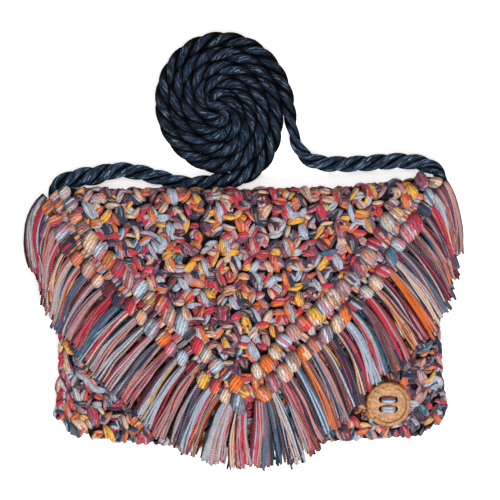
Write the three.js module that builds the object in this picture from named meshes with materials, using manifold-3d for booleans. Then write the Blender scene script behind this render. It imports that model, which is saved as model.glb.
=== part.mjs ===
// Macrame sling bag, lying on its back with the flap closed and the rope strap coiled beside it.
// Millimetres, +Z up. The origin is under the middle of the bag without its strap, on the floor.
// +Y runs from the fringe tip towards the folded top edge, and +X to the viewer's right.
import * as THREE from 'three';
import { mergeVertices } from 'three/addons/utils/BufferGeometryUtils.js';
import Module from 'manifold-3d';

const wasm = await Module();
wasm.setup();

// Driving dimensions

const clearance = 0.3;          // between pieces that touch
const knottedThickness = 4.6;   // knotted cloth between its raised knots
const seamGap = 0.8;            // between front and back where the sides are laced shut
const puffHeight = 8;           // how far the empty pouch stands open in its middle
const coverGap = 0.6;           // between the front panel and what lies on it
const knot = { columnPitch: 22, rowPitch: 11.5, reach: 9, rise: 2.4 };
const foldDepth = 12.5;         // from the top edge down to the back panel's upper end
const mouthDepth = 16.5;        // from the top edge down to the front panel's upper end
const bareSpan = { full: -5, none: 20 };   // heights between which the flap comes to cover the front

// Outline of the bag as it lies: each edge is a short table read by a smooth interpolation.
const topEdge = curveOf([
  { x: -122, y: 90.5 }, { x: -105, y: 87.8 }, { x: -50, y: 87.4 }, { x: 18, y: 86.1 },
  { x: 59, y: 89.1 }, { x: 103, y: 94.4 }, { x: 125, y: 98 },
], 'x', 'y');
const bottomEdge = curveOf([
  { x: -121, y: -62 }, { x: -117, y: -71 }, { x: -107, y: -77.5 }, { x: -47, y: -85.2 },
  { x: 3, y: -86.3 }, { x: 50, y: -83.6 }, { x: 101, y: -77.6 }, { x: 117, y: -74.5 },
  { x: 125, y: -69 }, { x: 129.6, y: -60 },
], 'x', 'y');
const leftEdge = -121;
const rightSide = { x: 126.2, slant: 0.055 };
const rightEdge = (y) => rightSide.x - rightSide.slant * y;

// Hitched bars along the V of the flap, from each top corner to the tip: inner and outer row.
const leftBars = [
  { innerX: -123, innerY: 88, outerX: -132.6, outerY: 78.4 },
  { innerX: -112.5, innerY: 67, outerX: -124, outerY: 60.5 },
  { innerX: -102, innerY: 50.5, outerX: -112, outerY: 41 },
  { innerX: -80.2, innerY: 29, outerX: -91, outerY: 19.5 },
  { innerX: -53.4, innerY: 5.5, outerX: -64, outerY: -4.5 },
  { innerX: -26.7, innerY: -22, outerX: -37.5, outerY: -31.5 },
  { innerX: -2.5, innerY: -46.5, outerX: -1, outerY: -60 },
];
const rightBars = [
  { innerX: 119.2, innerY: 97.2, outerX: 130, outerY: 92.4 },
  { innerX: 105.5, innerY: 75.5, outerX: 118, outerY: 70 },
  { innerX: 93, innerY: 61, outerX: 103.5, outerY: 51.5 },
  { innerX: 78.8, innerY: 37.7, outerX: 90, outerY: 29.5 },
  { innerX: 56.8, innerY: 12.4, outerX: 67.5, outerY: 3 },
  { innerX: 28, innerY: -13, outerX: 39, outerY: -22.5 },
  { innerX: 6, innerY: -38.5, outerX: 8.6, outerY: -53.2 },
];
const bar = { halfWidth: 5.4, height: 8.4, beads: 18, pinch: 0.78, webHeight: 4.4 };

// Fringe of each side, from its top corner (0) to the tip (1): lean outwards from straight down, length,
// and how far a lock widens towards its end.
const leftFall = [
  { along: 0, lean: 20, length: 42, tip: 2.4 }, { along: 0.1, lean: 19, length: 48, tip: 2.3 },
  { along: 0.3, lean: 29, length: 52, tip: 2.3 }, { along: 0.5, lean: 36, length: 47, tip: 3.2 },
  { along: 0.75, lean: 29, length: 46, tip: 4 }, { along: 0.92, lean: 9, length: 44, tip: 4.2 },
  { along: 1, lean: -8, length: 40, tip: 4 },
];
const rightFall = [
  { along: 0, lean: 17, length: 45, tip: 2.2 }, { along: 0.1, lean: 25, length: 53, tip: 2.2 },
  { along: 0.3, lean: 29, length: 58, tip: 3 }, { along: 0.5, lean: 27, length: 57, tip: 3.6 },
  { along: 0.75, lean: 19, length: 57, tip: 3.8 }, { along: 0.92, lean: 6, length: 53, tip: 4 },
  { along: 1, lean: -4, length: 47, tip: 3.8 },
];
const fringe = { strands: 42, rootWidth: 3.2, height: 2.4, lengthSpread: 0.06 };
const droop = { start: 9, end: 26, low: 2.4 };   // how covers fall past the pouch's edge

const button = { x: 95.5, y: -56.6, radius: 15, height: 5.6, rim: 2.6, dish: 1.1, settle: 0.8 };
const buttonHole = { radius: 2.1, across: 4.4, along: 3.2 };
const stitch = { radius: 1.5, sides: 6 };

const lacing = { radius: 2.4, waist: 0.72, tall: 1.4, pitch: 10, top: 66, bottom: -52, height: 5 };

// Three-strand rope strap: two free ends and the flat double spiral between them.
const rope = { radius: 4.1, valley: 3.3, layLength: 27, stepLength: 4.5 };
const coil = {
  x: -17, y: 139.6, stretchX: 0.945, stretchY: 1.057, pitch: 8.2,
  rightEnd: { angle: -10, radius: 48.8 }, leftEnd: { angle: -95, radius: 44.7 },
};
const strapLeftRoute = [
  [-22.2, 92.5], [-32, 90.9], [-42.8, 91.4], [-57.4, 94], [-71.5, 97.2], [-86.2, 99.7], [-100, 99.4],
  [-110, 98], [-119, 95.2], [-125, 90.5], [-126.2, 82], [-125.6, 69],
];
const strapRightRoute = [
  [29.9, 128.8], [32.4, 120.4], [36.7, 112.4], [44.8, 105.6], [58.8, 103.4], [80.8, 103.9], [98.9, 105.4],
  [113.6, 105.4], [124.2, 102.8], [131, 96.2], [132, 88], [128.1, 78], [127.3, 69],
];

// General helpers

// A smooth function through the rows of a table, from one named column to another.
function curveOf(table, from, to) {
  const line = new THREE.CubicInterpolant(
    table.map((row) => row[from]), table.map((row) => row[to]), 1, new Float32Array(1));
  return (value) => line.evaluate(THREE.MathUtils.clamp(value, table[0][from], table.at(-1)[from]))[0];
}

// Straight-line reading of a table of points sorted by x.
function lineOf(points) {
  const sorted = [...points].sort((a, b) => a.x - b.x);
  const line = new THREE.LinearInterpolant(
    sorted.map((p) => p.x), sorted.map((p) => p.y), 1, new Float32Array(1));
  return (x) => line.evaluate(THREE.MathUtils.clamp(x, sorted[0].x, sorted.at(-1).x))[0];
}

const spread = (count) => Array.from({ length: count + 1 }, (_, i) => i / count);

// Triangles that fill a flat ring, as places in that ring, seen along its steepest axis.
function fillRing(ring) {
  const normal = new THREE.Vector3();
  ring.forEach((point, k) => normal.add(new THREE.Vector3().crossVectors(point, ring[(k + 1) % ring.length])));
  const [x, y, z] = normal.toArray().map(Math.abs);
  const flat = (p) => {
    if (x >= y && x >= z) return new THREE.Vector2(p.y, p.z);
    return y >= z ? new THREE.Vector2(p.z, p.x) : new THREE.Vector2(p.x, p.y);
  };
  const contour = ring.map(flat);
  const turnsLeft = THREE.ShapeUtils.area(contour) > 0;
  const triangles = THREE.ShapeUtils.triangulateShape(turnsLeft ? contour : contour.reverse(), []);
  return turnsLeft ? triangles : triangles.map((corners) => corners.map((k) => ring.length - 1 - k).reverse());
}

// Closed solid through rings of equal point count, with a flat face closing each end.
function loft(rings) {
  const count = rings[0].length;
  const points = rings.flat();
  const lastRing = (rings.length - 1) * count;
  const index = [];
  for (let k = 0; k < count; k += 1) {
    const next = (k + 1) % count;
    for (let r = 0; r < lastRing; r += count) {
      index.push(r + k, r + next, r + count + k, r + next, r + count + next, r + count + k);
    }
  }
  fillRing(rings[0]).forEach(([a, b, c]) => index.push(c, b, a));
  fillRing(rings.at(-1)).forEach(([a, b, c]) => index.push(lastRing + a, lastRing + b, lastRing + c));
  return outward(points, index);
}

// Geometry of a closed surface, turned so that its faces point out.
function outward(points, index) {
  let volume = 0;
  for (let i = 0; i < index.length; i += 3) {
    const [a, b, c] = [points[index[i]], points[index[i + 1]], points[index[i + 2]]];
    volume += a.dot(new THREE.Vector3().crossVectors(b, c));
  }
  const geometry = new THREE.BufferGeometry().setFromPoints(points);
  geometry.setIndex(volume > 0 ? index : index.reverse());
  return geometry;
}

function toSolid(geometry) {
  const bare = geometry.clone();
  bare.deleteAttribute('normal');
  bare.deleteAttribute('uv');
  const merged = mergeVertices(bare, 1e-4);
  return new wasm.Manifold(new wasm.Mesh({
    numProp: 3,
    vertProperties: Float32Array.from(merged.attributes.position.array),
    triVerts: Uint32Array.from(merged.index.array),
  }));
}

function toGeometry(solid) {
  const mesh = solid.getMesh();
  const geometry = new THREE.BufferGeometry();
  geometry.setAttribute('position', new THREE.BufferAttribute(mesh.vertProperties, 3));
  geometry.setIndex(new THREE.BufferAttribute(mesh.triVerts, 1));
  return geometry;
}

function piece(name, geometry, color, roughness = 0.9) {
  const material = new THREE.MeshStandardMaterial({ color, roughness, metalness: 0 });
  const mesh = new THREE.Mesh(geometry, material);
  mesh.name = name;
  return mesh;
}

// Heights of the lying bag

// Square knots stand in staggered rows: 1 on a knot, 0 in the hollows between.
function knotRise(x, down) {
  const nearestRow = Math.round(down / knot.rowPitch);
  const bump = (distance) => Math.cos(Math.min(distance, 1) * Math.PI / 2) ** 2;
  const rises = [nearestRow - 1, nearestRow, nearestRow + 1].map((row) => {
    const column = x / knot.columnPitch - (row % 2 === 0 ? 0 : 0.5);
    const across = 2 * Math.abs(column - Math.round(column));
    return bump(across) * bump(Math.abs(down - row * knot.rowPitch) / knot.reach);
  });
  return Math.max(...rises);
}

// Outer height of the front panel without its knots; side and up run from 0 to 1 over the panel.
function frontHeight(side, up) {
  const open = (1 - Math.abs(2 * side - 1) ** 6) * (1 - (1 - up) ** 5);
  return 2 * knottedThickness + seamGap + puffHeight * open;
}

const mouthY = (x) => topEdge(x) - mouthDepth;
const backY = (x) => topEdge(x) - foldDepth;

// How strongly the front panel's knots stand up: fully where the flap leaves it bare, not under the flap.
const bareFront = (y) => 1 - THREE.MathUtils.smoothstep(y, bareSpan.full, bareSpan.none);

// Lowest height at which a cover lies clear of the pouch; past the pouch's edge it droops to the floor.
function rideHeight(x, y) {
  const innerY = THREE.MathUtils.clamp(y, bottomEdge(x), backY(x));
  const innerX = THREE.MathUtils.clamp(x, leftEdge, rightEdge(innerY));
  const side = (innerX - leftEdge) / (rightEdge(innerY) - leftEdge);
  const up = THREE.MathUtils.clamp((innerY - bottomEdge(innerX)) / (mouthY(innerX) - bottomEdge(innerX)), 0, 1);
  const seat = frontHeight(side, up) + knot.rise * bareFront(innerY) + coverGap;
  const outside = Math.hypot(x - innerX, y - innerY);
  return seat - (seat - droop.low) * THREE.MathUtils.smoothstep(outside, droop.start, droop.end);
}

// Pouch: front and back in one knotted length folded at the bottom, its sides laced shut, open at the top.
function makePouch() {
  const sideRound = 2.2;
  const foldRound = 3.4;
  const foldBend = [{ back: 0.3, high: 0.8 }, { back: 0, high: 0.52 }, { back: 0.3, high: 0.18 }];
  const coarseRows = [1, 0.88, 0.76, 0.64, 0.55];
  const fineRows = spread(13).map((part) => 0.5 - 0.48 * part);
  const stations = [0, 0.012, ...spread(34).slice(1, -1), 0.988, 1];
  const [cornerLow, cornerHigh] = [-62, 85];
  const columnX = (side, y) => leftEdge + side * (rightEdge(y) - leftEdge);
  const at = (side, y, z) => new THREE.Vector3(columnX(side, y), y, z);
  const lowY = (side) => bottomEdge(columnX(side, cornerLow));
  const highX = (side) => columnX(side, cornerHigh);

  const outerRings = stations.map((side) => {
    const [low, high] = [lowY(side), mouthY(highX(side))];
    const round = side === 0 || side === 1 ? sideRound : 0;
    const foldHeight = frontHeight(side, 0) - round;
    const front = [...coarseRows, ...fineRows].map((up) => {
      const y = low + foldRound + up * (high - low - foldRound);
      const raised = round ? 0 : knot.rise * bareFront(y) * knotRise(columnX(side, y), y - low);
      return at(side, y, frontHeight(side, up) + raised - round);
    });
    return [
      at(side, low + foldRound, round), at(side, 0, round), at(side, backY(highX(side)), round),
      ...front,
      ...foldBend.map(({ back, high }) => {
        return at(side, low + foldRound * back, THREE.MathUtils.lerp(round, foldHeight, high));
      }),
    ];
  });

  const sideWall = 0.025;
  const insideRows = spread(7);
  const insideRings = spread(16).map((part) => {
    const side = sideWall + part * (1 - 2 * sideWall);
    const [low, high] = [lowY(side) + knottedThickness + 1.5, backY(highX(side)) + 5];
    const roof = insideRows.map((step) => {
      const y = low + step * (high - low);
      const up = (y - lowY(side)) / (mouthY(highX(side)) - lowY(side));
      return at(side, y, frontHeight(side, Math.min(up, 1)) - knottedThickness);
    });
    return [...roof, at(side, high, knottedThickness), at(side, low, knottedThickness)];
  });
  return toGeometry(toSolid(loft(outerRings)).subtract(toSolid(loft(insideRings))));
}

// Hitched bars

const plane = (x, y) => new THREE.Vector3(x, y, 0);

// Inner and outer bar lines of one side, as smooth curves read by the same parameter.
function barLines(rows) {
  const inner = new THREE.CatmullRomCurve3(rows.map((row) => plane(row.innerX, row.innerY)));
  const outer = new THREE.CatmullRomCurve3(rows.map((row) => plane(row.outerX, row.outerY)));
  return {
    inner: (t) => inner.getPoint(t),
    outer: (t) => outer.getPoint(t),
    apart: (t) => outer.getPoint(t).sub(inner.getPoint(t)),
  };
}

const leftLines = barLines(leftBars);
const rightLines = barLines(rightBars);

// Swells at each hitch and narrows between hitches.
const beadSize = (t) => bar.pinch + (1 - bar.pinch) * Math.sin(t * bar.beads * Math.PI) ** 2;

// Points of a section across a bar, each at its own height over the pouch.
function acrossBar(centre, outwards, section) {
  return section.map(([aside, up]) => {
    const point = centre.clone().addScaledVector(outwards, aside);
    point.z = rideHeight(point.x, point.y) + up;
    return point;
  });
}

const barSteps = spread(2 * bar.beads);

// Inner bar with the short cords that run from it to the outer bar.
function makeInnerBar(lines) {
  return loft(barSteps.map((t) => {
    const apart = lines.apart(t);
    const [w, h] = [bar.halfWidth * beadSize(t), bar.height * beadSize(t)];
    const webEnd = Math.max(apart.length() - bar.halfWidth - 1.5 * clearance, w + clearance);
    return acrossBar(lines.inner(t), apart.normalize(), [
      [-0.75 * w, 0], [-w, 0.4 * h], [-0.65 * w, 0.85 * h], [0, h], [0.65 * w, 0.85 * h], [w, 0.58 * h],
      [webEnd, bar.webHeight], [webEnd, 0],
    ]);
  }));
}

function makeOuterBar(lines) {
  return loft(barSteps.map((t) => {
    const [w, h] = [bar.halfWidth * beadSize(t), bar.height * beadSize(t)];
    return acrossBar(lines.outer(t), lines.apart(t).normalize(), [
      [-0.75 * w, 0], [-w, 0.4 * h], [-0.65 * w, 0.85 * h], [0, h],
      [0.65 * w, 0.85 * h], [w, 0.4 * h], [0.75 * w, 0],
    ]);
  }));
}

const buttonDistance = (point) => Math.hypot(point.x - button.x, point.y - button.y);

// Fringe: the outer bar with the loose cord ends that hang from it; outwards is -1 on the left, 1 on the right.
function makeFringe(lines, fall, outwards) {
  const leanAt = curveOf(fall, 'along', 'lean');
  const lengthAt = curveOf(fall, 'along', 'length');
  const tipAt = curveOf(fall, 'along', 'tip');
  const rootHeight = 3.4;
  const stations = [0, 0.2, 0.6, 1];
  let solid = toSolid(makeOuterBar(lines));
  for (let k = 0; k < fringe.strands; k += 1) {
    const t = (k + 0.5) / fringe.strands;
    const lean = THREE.MathUtils.degToRad(leanAt(t));
    const along = new THREE.Vector3(outwards * Math.sin(lean), -Math.cos(lean), 0);
    const across = new THREE.Vector3(-along.y, along.x, 0);
    const root = lines.outer(t);
    let length = lengthAt(t) * (1 + fringe.lengthSpread * Math.sin(k * 2.4));
    while (buttonDistance(root.clone().addScaledVector(along, length)) < button.radius + 2) length -= 0.5;
    solid = solid.add(toSolid(loft(stations.map((part) => {
      const centre = root.clone().addScaledVector(along, part * length);
      const width = THREE.MathUtils.lerp(fringe.rootWidth, tipAt(t), part);
      const lift = part === 0 ? rootHeight : clearance + coverGap * (1 - part);
      const [left, right] = [-0.5, 0.5].map((half) => centre.clone().addScaledVector(across, half * width));
      const base = rideHeight(centre.x, centre.y) + lift;
      left.z = base;
      right.z = base;
      centre.z = base + fringe.height;
      return [left, right, centre];
    }))));
  }
  return toGeometry(solid);
}

// Flap: worked on from the back panel, folded over the mouth and lying on the front down to its V edge.
function makeFlap() {
  const edgeGap = bar.halfWidth + 0.7;
  const edgePoints = (lines) => spread(40).map((t) => {
    return lines.inner(t).addScaledVector(lines.apart(t).normalize(), -edgeGap);
  });
  const leftLine = lineOf(edgePoints(leftLines));
  const rightPoints = edgePoints(rightLines);
  const tip = rightPoints.at(-1);
  const pastTip = { x: 6.5, y: 9 };
  const rightLine = lineOf([...rightPoints, plane(tip.x - pastTip.x, tip.y - pastTip.y)]);
  const edgeY = (x) => Math.max(leftLine(x), rightLine(x));
  const [leftEnd, rightEnd, stationCount] = [-107, 101, 29];
  const foldAngles = spread(5).map((part) => Math.PI * (part - 0.5));

  return loft(spread(stationCount).map((part) => {
    const x = THREE.MathUtils.lerp(leftEnd, rightEnd, part);
    const top = topEdge(x);
    const under = (y) => rideHeight(x, Math.min(y, mouthY(x)));
    const foldRadius = (under(top) + knottedThickness) / 2;
    const foldY = top - foldRadius;
    const low = Math.min(edgeY(x), foldY - 1);
    const point = (y, z) => new THREE.Vector3(x, y, z);
    const arc = (radius) => foldAngles.map((angle) => {
      return point(foldY + radius * Math.cos(angle), foldRadius + radius * Math.sin(angle));
    });
    const rowY = (step) => THREE.MathUtils.lerp(foldY, low, step);
    const upper = spread(21).slice(1).map((step) => {
      const y = rowY(step);
      return point(y, under(y) + knottedThickness + knot.rise * knotRise(x, top - y));
    });
    const underside = spread(8).slice(1).reverse().map((step) => point(rowY(step), under(rowY(step))));
    return [
      point(backY(x) + clearance, 0), ...arc(foldRadius), ...upper, ...underside,
      ...arc(foldRadius - knottedThickness).reverse(), point(backY(x) + clearance, knottedThickness),
    ];
  }));
}

// Button and its stitches, on the slope of the front panel

const buttonSlope = Math.atan2(
  rideHeight(button.x, button.y + button.radius) - rideHeight(button.x, button.y - button.radius),
  2 * button.radius);
const buttonSeat = Math.max(...[-1, 0, 1].map((step) => {
  const y = step * button.radius;
  return rideHeight(button.x, button.y + y) - y * Math.tan(buttonSlope);
}));

function makeButton() {
  const { radius, height, rim, dish } = button;
  const edge = 1.2;
  const profile = [
    [0, 0], [radius - edge, 0], [radius, edge], [radius, height - edge], [radius - edge, height],
    [radius - rim, height], [radius - rim - dish, height - dish], [0, height - dish],
  ].map(([x, y]) => new THREE.Vector2(x, y));
  const disc = new THREE.LatheGeometry(profile, 36).rotateX(Math.PI / 2);
  let solid = toSolid(disc);
  for (const x of [-buttonHole.across, buttonHole.across]) {
    for (const y of [-buttonHole.along, buttonHole.along]) {
      const hole = new THREE.CylinderGeometry(buttonHole.radius, buttonHole.radius, 3 * height, 12);
      solid = solid.subtract(toSolid(hole.rotateX(Math.PI / 2).translate(x, y, height / 2)));
    }
  }
  return toGeometry(solid);
}

// One stitch: up through a hole, across the dish and down through the next hole.
function makeStitch(y) {
  const { across } = buttonHole;
  const over = button.height - button.dish + stitch.radius + 0.5;
  const legDepth = 0.7;
  const route = [
    [-across, -legDepth], [-across, over * 0.7], [-across * 0.72, over * 0.96], [0, over + 0.2],
    [across * 0.72, over * 0.96], [across, over * 0.7], [across, -legDepth],
  ];
  const turns = [0, 0, 45, 90, 135, 180, 180].map(THREE.MathUtils.degToRad);
  return loft(route.map(([x, z], k) => spread(stitch.sides).slice(1).map((part) => {
    const angle = 2 * Math.PI * part;
    const reach = stitch.radius * Math.cos(angle);
    return new THREE.Vector3(
      x - reach * Math.cos(turns[k]), y + stitch.radius * Math.sin(angle), z + reach * Math.sin(turns[k]));
  })));
}

// Side lacing: the cord that whips front and back together along a side, one swelling for each turn.
function makeLacing(edgeX, outwards) {
  const sides = 8;
  const turns = Math.round((lacing.top - lacing.bottom) / lacing.pitch);
  return loft(spread(2 * turns).map((part, step) => {
    const y = THREE.MathUtils.lerp(lacing.top, lacing.bottom, part);
    const radius = lacing.radius * (step % 2 === 0 ? lacing.waist : 1);
    const x = edgeX(y) + outwards * (lacing.radius + clearance);
    return spread(sides).slice(1).map((turn) => {
      const angle = 2 * Math.PI * turn;
      return new THREE.Vector3(
        x + radius * Math.cos(angle), y, lacing.height + lacing.tall * radius * Math.sin(angle));
    });
  }));
}

// Strap

// A free end of the rope: a three-lobed section that turns once in each lay length along the route.
function makeRopeEnd(route) {
  const curve = new THREE.CatmullRomCurve3(route.map(([x, y]) => new THREE.Vector3(x, y, rope.radius)));
  const length = curve.getLength();
  const steps = Math.round(length / rope.stepLength);
  return loft(spread(steps).map((part) => {
    const centre = curve.getPointAt(part);
    const along = curve.getTangentAt(part);
    const across = new THREE.Vector3(-along.y, along.x, 0);
    const twist = -2 * Math.PI * part * length / rope.layLength;
    return spread(9).slice(1).map((turn, k) => {
      const angle = 2 * Math.PI * turn + twist;
      const radius = k % 3 === 0 ? rope.valley : rope.radius;
      const point = centre.clone().addScaledVector(across, radius * Math.cos(angle));
      point.z += radius * Math.sin(angle);
      return point;
    });
  }));
}

// The coil: the outline of the outermost turn at every angle, with a ridge for each turn inside it.
function makeCoil() {
  const { pitch, rightEnd, leftEnd } = coil;
  const stepWidth = 1.5;
  const angles = [
    ...spread(9).map((part) => THREE.MathUtils.lerp(leftEnd.angle, rightEnd.angle - stepWidth, part)),
    ...spread(28).map((part) => THREE.MathUtils.lerp(rightEnd.angle, 360 + leftEnd.angle - stepWidth, part)),
  ];
  const turnRadius = (angle) => {
    const end = angle < rightEnd.angle ? leftEnd : rightEnd;
    return end.radius - pitch * (angle - end.angle) / 180;
  };
  const turns = 4;
  const ridges = spread(turns - 1).flatMap((_, k) => [
    { inset: k * pitch, z: 2 * rope.radius }, { inset: (k + 0.5) * pitch, z: 1.45 * rope.radius },
  ]);
  const rows = [
    { inset: -0.4 * rope.radius, z: 0 }, { inset: -rope.radius, z: 0.6 * rope.radius },
    { inset: -rope.radius, z: 1.4 * rope.radius }, ...ridges, { inset: turns * pitch, z: 2 * rope.radius },
  ];
  return loft(rows.map(({ inset, z }) => angles.map((angle) => {
    const radians = THREE.MathUtils.degToRad(angle);
    const { stretchX, stretchY } = coil;
    const line = Math.max(turnRadius(angle) - Math.max(inset, 0), 1.5);
    const edge = Math.max(-inset, 0);
    return new THREE.Vector3(
      coil.x + (line * stretchX + edge) * Math.cos(radians),
      coil.y + (line * stretchY + edge) * Math.sin(radians), z);
  })));
}

// The bag

const wine = 0x8c3b46;
const rose = 0xb8706a;
const mustard = 0xc98a3c;
const slate = 0x53627a;
const navy = 0x26344b;
const wood = 0xc49a62;

const bag = new THREE.Group();
bag.add(
  piece('pouch', makePouch(), slate),
  piece('flap', makeFlap(), rose),
  piece('inner_bar_left', makeInnerBar(leftLines), mustard),
  piece('inner_bar_right', makeInnerBar(rightLines), mustard),
  piece('fringe_left', makeFringe(leftLines, leftFall, -1), wine),
  piece('fringe_right', makeFringe(rightLines, rightFall, 1), wine),
  piece('side_lacing_left', makeLacing(() => leftEdge, -1), rose),
  piece('side_lacing_right', makeLacing(rightEdge, 1), navy),
);

const buttonGroup = new THREE.Group();
buttonGroup.position.set(button.x, button.y, buttonSeat + clearance - button.settle);
buttonGroup.rotation.x = buttonSlope;
buttonGroup.add(
  piece('button', makeButton(), wood, 0.55),
  piece('button_stitch_upper', makeStitch(buttonHole.along), slate),
  piece('button_stitch_lower', makeStitch(-buttonHole.along), slate),
);
bag.add(buttonGroup);

bag.add(
  piece('strap_left', makeRopeEnd(strapLeftRoute), navy),
  piece('strap_right', makeRopeEnd(strapRightRoute), navy),
  piece('strap_coil', makeCoil(), navy),
);

export default bag;
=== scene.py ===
import bpy
import math
import numpy as np
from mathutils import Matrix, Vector


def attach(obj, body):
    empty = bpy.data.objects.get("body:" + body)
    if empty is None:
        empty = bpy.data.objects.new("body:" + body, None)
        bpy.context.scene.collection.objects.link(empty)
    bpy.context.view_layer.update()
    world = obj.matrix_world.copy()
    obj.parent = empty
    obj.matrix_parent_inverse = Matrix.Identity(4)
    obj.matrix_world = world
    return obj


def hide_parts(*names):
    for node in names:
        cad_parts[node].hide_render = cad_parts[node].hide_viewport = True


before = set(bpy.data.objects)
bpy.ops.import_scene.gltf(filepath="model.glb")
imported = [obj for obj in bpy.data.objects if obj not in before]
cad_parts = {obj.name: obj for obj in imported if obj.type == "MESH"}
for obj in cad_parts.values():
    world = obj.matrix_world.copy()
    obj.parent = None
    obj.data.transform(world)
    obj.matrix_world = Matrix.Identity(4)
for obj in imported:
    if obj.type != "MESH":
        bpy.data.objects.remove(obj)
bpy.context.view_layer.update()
rng = np.random.default_rng(41)
upwards = np.array([0, 0, 1.0])


# Objects, shader nodes and materials
def addObject(name, data):
    item = bpy.data.objects.new(name, data)
    bpy.context.scene.collection.objects.link(item)
    return item


def feedNode(tree, node, feeds):  # each socket gets a link or a plain value
    for socket, value in feeds.items():
        if isinstance(value, bpy.types.NodeSocket):
            tree.links.new(value, node.inputs[socket])
        else:
            node.inputs[socket].default_value = value


def addNode(tree, kind, feeds=(), **settings):
    node = tree.nodes.new("ShaderNode" + kind)
    for label, value in settings.items():
        setattr(node, label, value)
    feedNode(tree, node, dict(feeds))
    return node


def newMaterial(name, values):
    material = bpy.data.materials.new(name)
    material.use_nodes = True
    shader = material.node_tree.nodes["Principled BSDF"]
    feedNode(material.node_tree, shader, values)
    return material, material.node_tree, shader


# Camera, floor and light: straight down on the bag, as it lies
view = {"middle": (3.3, 45.8), "width": 334.0, "height": 3000.0, "focus": 14.0}  # millimetres
studio = {  # metres
    "floorColor": (0.93, 0.93, 0.93), "floorGlow": 0.5, "floorRough": 0.9, "floorHalf": 4.0,
    "aim": (0, 0.04, 0), "farthest": 20.0, "sky": 0.1,
    "lamps": {
        "key": {"place": (0.5, -0.75, 1.3), "size": 0.4, "power": 33.0},
        "fill": {"place": (-0.7, 0.75, 1.5), "size": 1.6, "power": 9.0},
        "top": {"place": (0.05, 0.05, 2.4), "size": 1.2, "power": 16.0},
    },
}


def makeStudio():
    scene = bpy.context.scene
    scene.view_settings.view_transform = "Standard"
    lens = bpy.data.cameras.new("camera")
    lens.lens = lens.sensor_width * (view["height"] - view["focus"]) / view["width"]
    lens.clip_end = studio["farthest"]
    scene.camera = addObject("camera", lens)
    scene.camera.location = [v / 1000 for v in (*view["middle"], view["height"])]
    for name, lamp in studio["lamps"].items():
        light = bpy.data.lights.new(name, "AREA")
        light.size = lamp["size"]
        light.energy = lamp["power"]
        holder = addObject(name, light)
        holder.location = lamp["place"]
        aim = Vector(studio["aim"]) - holder.location
        holder.rotation_euler = aim.to_track_quat("-Z", "Y").to_euler()
    scene.world = bpy.data.worlds.new("studio")
    scene.world.use_nodes = True
    sky = scene.world.node_tree.nodes["Background"]
    sky.inputs["Color"].default_value = (1, 1, 1, 1)
    sky.inputs["Strength"].default_value = studio["sky"]
    far = studio["floorHalf"]
    ground = bpy.data.meshes.new("floor")
    ground.from_pydata([(-far, -far, 0), (far, -far, 0), (far, far, 0), (-far, far, 0)], [], [(0, 1, 2, 3)])
    paint = newMaterial("floorPaint", {
        "Base Color": (*studio["floorColor"], 1), "Roughness": studio["floorRough"],
        "Emission Color": (1, 1, 1, 1), "Emission Strength": studio["floorGlow"]})[0]
    ground.materials.append(paint)
    floor = addObject("floor", ground)


makeStudio()
print("studio ready")


# Small array helpers, all in millimetres
def unit(v):
    return v / np.maximum(np.linalg.norm(v, axis=-1, keepdims=True), 1e-9)


def ease(value, low, high):  # 0 before low, 1 after high, an S-curve 3t2 - 2t3 between
    t = np.clip((value - low) / (high - low), 0, 1)
    return t * t * (3 - 2 * t)


def lengthAlong(points):  # from a path's first point to each of its points
    steps = np.linalg.norm(np.diff(points, axis=-2), axis=-1)
    return np.concatenate([np.zeros((*steps.shape[:-1], 1)), steps.cumsum(-1)], -1)


# Smooth line through a table: a cubic between two rows, with slopes from the rows on either side.
def readTable(xs, ys, at):
    xs, ys = np.asarray(xs, float), np.asarray(ys, float)
    slopes = np.concatenate([
        [(ys[1] - ys[0]) / (xs[1] - xs[0])], (ys[2:] - ys[:-2]) / (xs[2:] - xs[:-2]),
        [(ys[-1] - ys[-2]) / (xs[-1] - xs[-2])]])
    at = np.clip(np.asarray(at, float), xs[0], xs[-1])
    k = np.clip(np.searchsorted(xs, at, side="right") - 1, 0, len(xs) - 2)
    w = xs[k + 1] - xs[k]
    t = (at - xs[k]) / w
    return ((2 * t**3 - 3 * t**2 + 1) * ys[k] + (t**3 - 2 * t**2 + t) * w * slopes[k]
            + (3 * t**2 - 2 * t**3) * ys[k + 1] + (t**3 - t**2) * w * slopes[k + 1])


# A set of cords of equal ring count. Each ring is an oval round its path point: across it the half width,
# along its up direction the half height, with a low ridge for each of its yarns.
def cordSet(paths, ups, wide, high, tone, sides=12, ridges=4, ridge=0.07):
    cords, rings = paths.shape[:2]
    tangents = unit(np.gradient(paths, axis=1))
    across = unit(np.cross(tangents, np.broadcast_to(ups, paths.shape)))
    upright = np.cross(across, tangents)
    angle = np.arange(sides) * 2 * np.pi / sides
    bulge = 1 - ridge * np.cos(ridges * angle)
    wide, high = (np.broadcast_to(v, (cords, rings))[:, :, None, None] for v in (wide, high))
    points = (paths[:, :, None] + across[:, :, None] * wide * (np.cos(angle) * bulge)[:, None]
              + upright[:, :, None] * high * (np.sin(angle) * bulge)[:, None])
    # the share runs from 0 to 1 along each cord; the yarn finish paints shade at both ends by it
    return {"points": points, "along": lengthAlong(paths), "tone": np.broadcast_to(tone, cords)[:, None],
            "strand": rng.random((cords, 1)), "share": np.linspace(0, 1, rings)[None]}


# Indices of a set's faces: quads between rings, and one face that closes each end.
def cordFaces(cords, rings, sides):
    c, r, k = np.meshgrid(np.arange(cords), np.arange(rings - 1), np.arange(sides), indexing="ij")
    at = lambda ring, side: (c * rings + ring) * sides + side % sides
    quads = np.stack([at(r, k), at(r + 1, k), at(r + 1, k + 1), at(r, k + 1)], -1).reshape(-1, 4)
    ends = np.arange(cords)[:, None] * rings * sides + np.arange(sides)
    far = (ends + (rings - 1) * sides)[:, ::-1]
    return quads, np.concatenate([ends, far])


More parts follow.
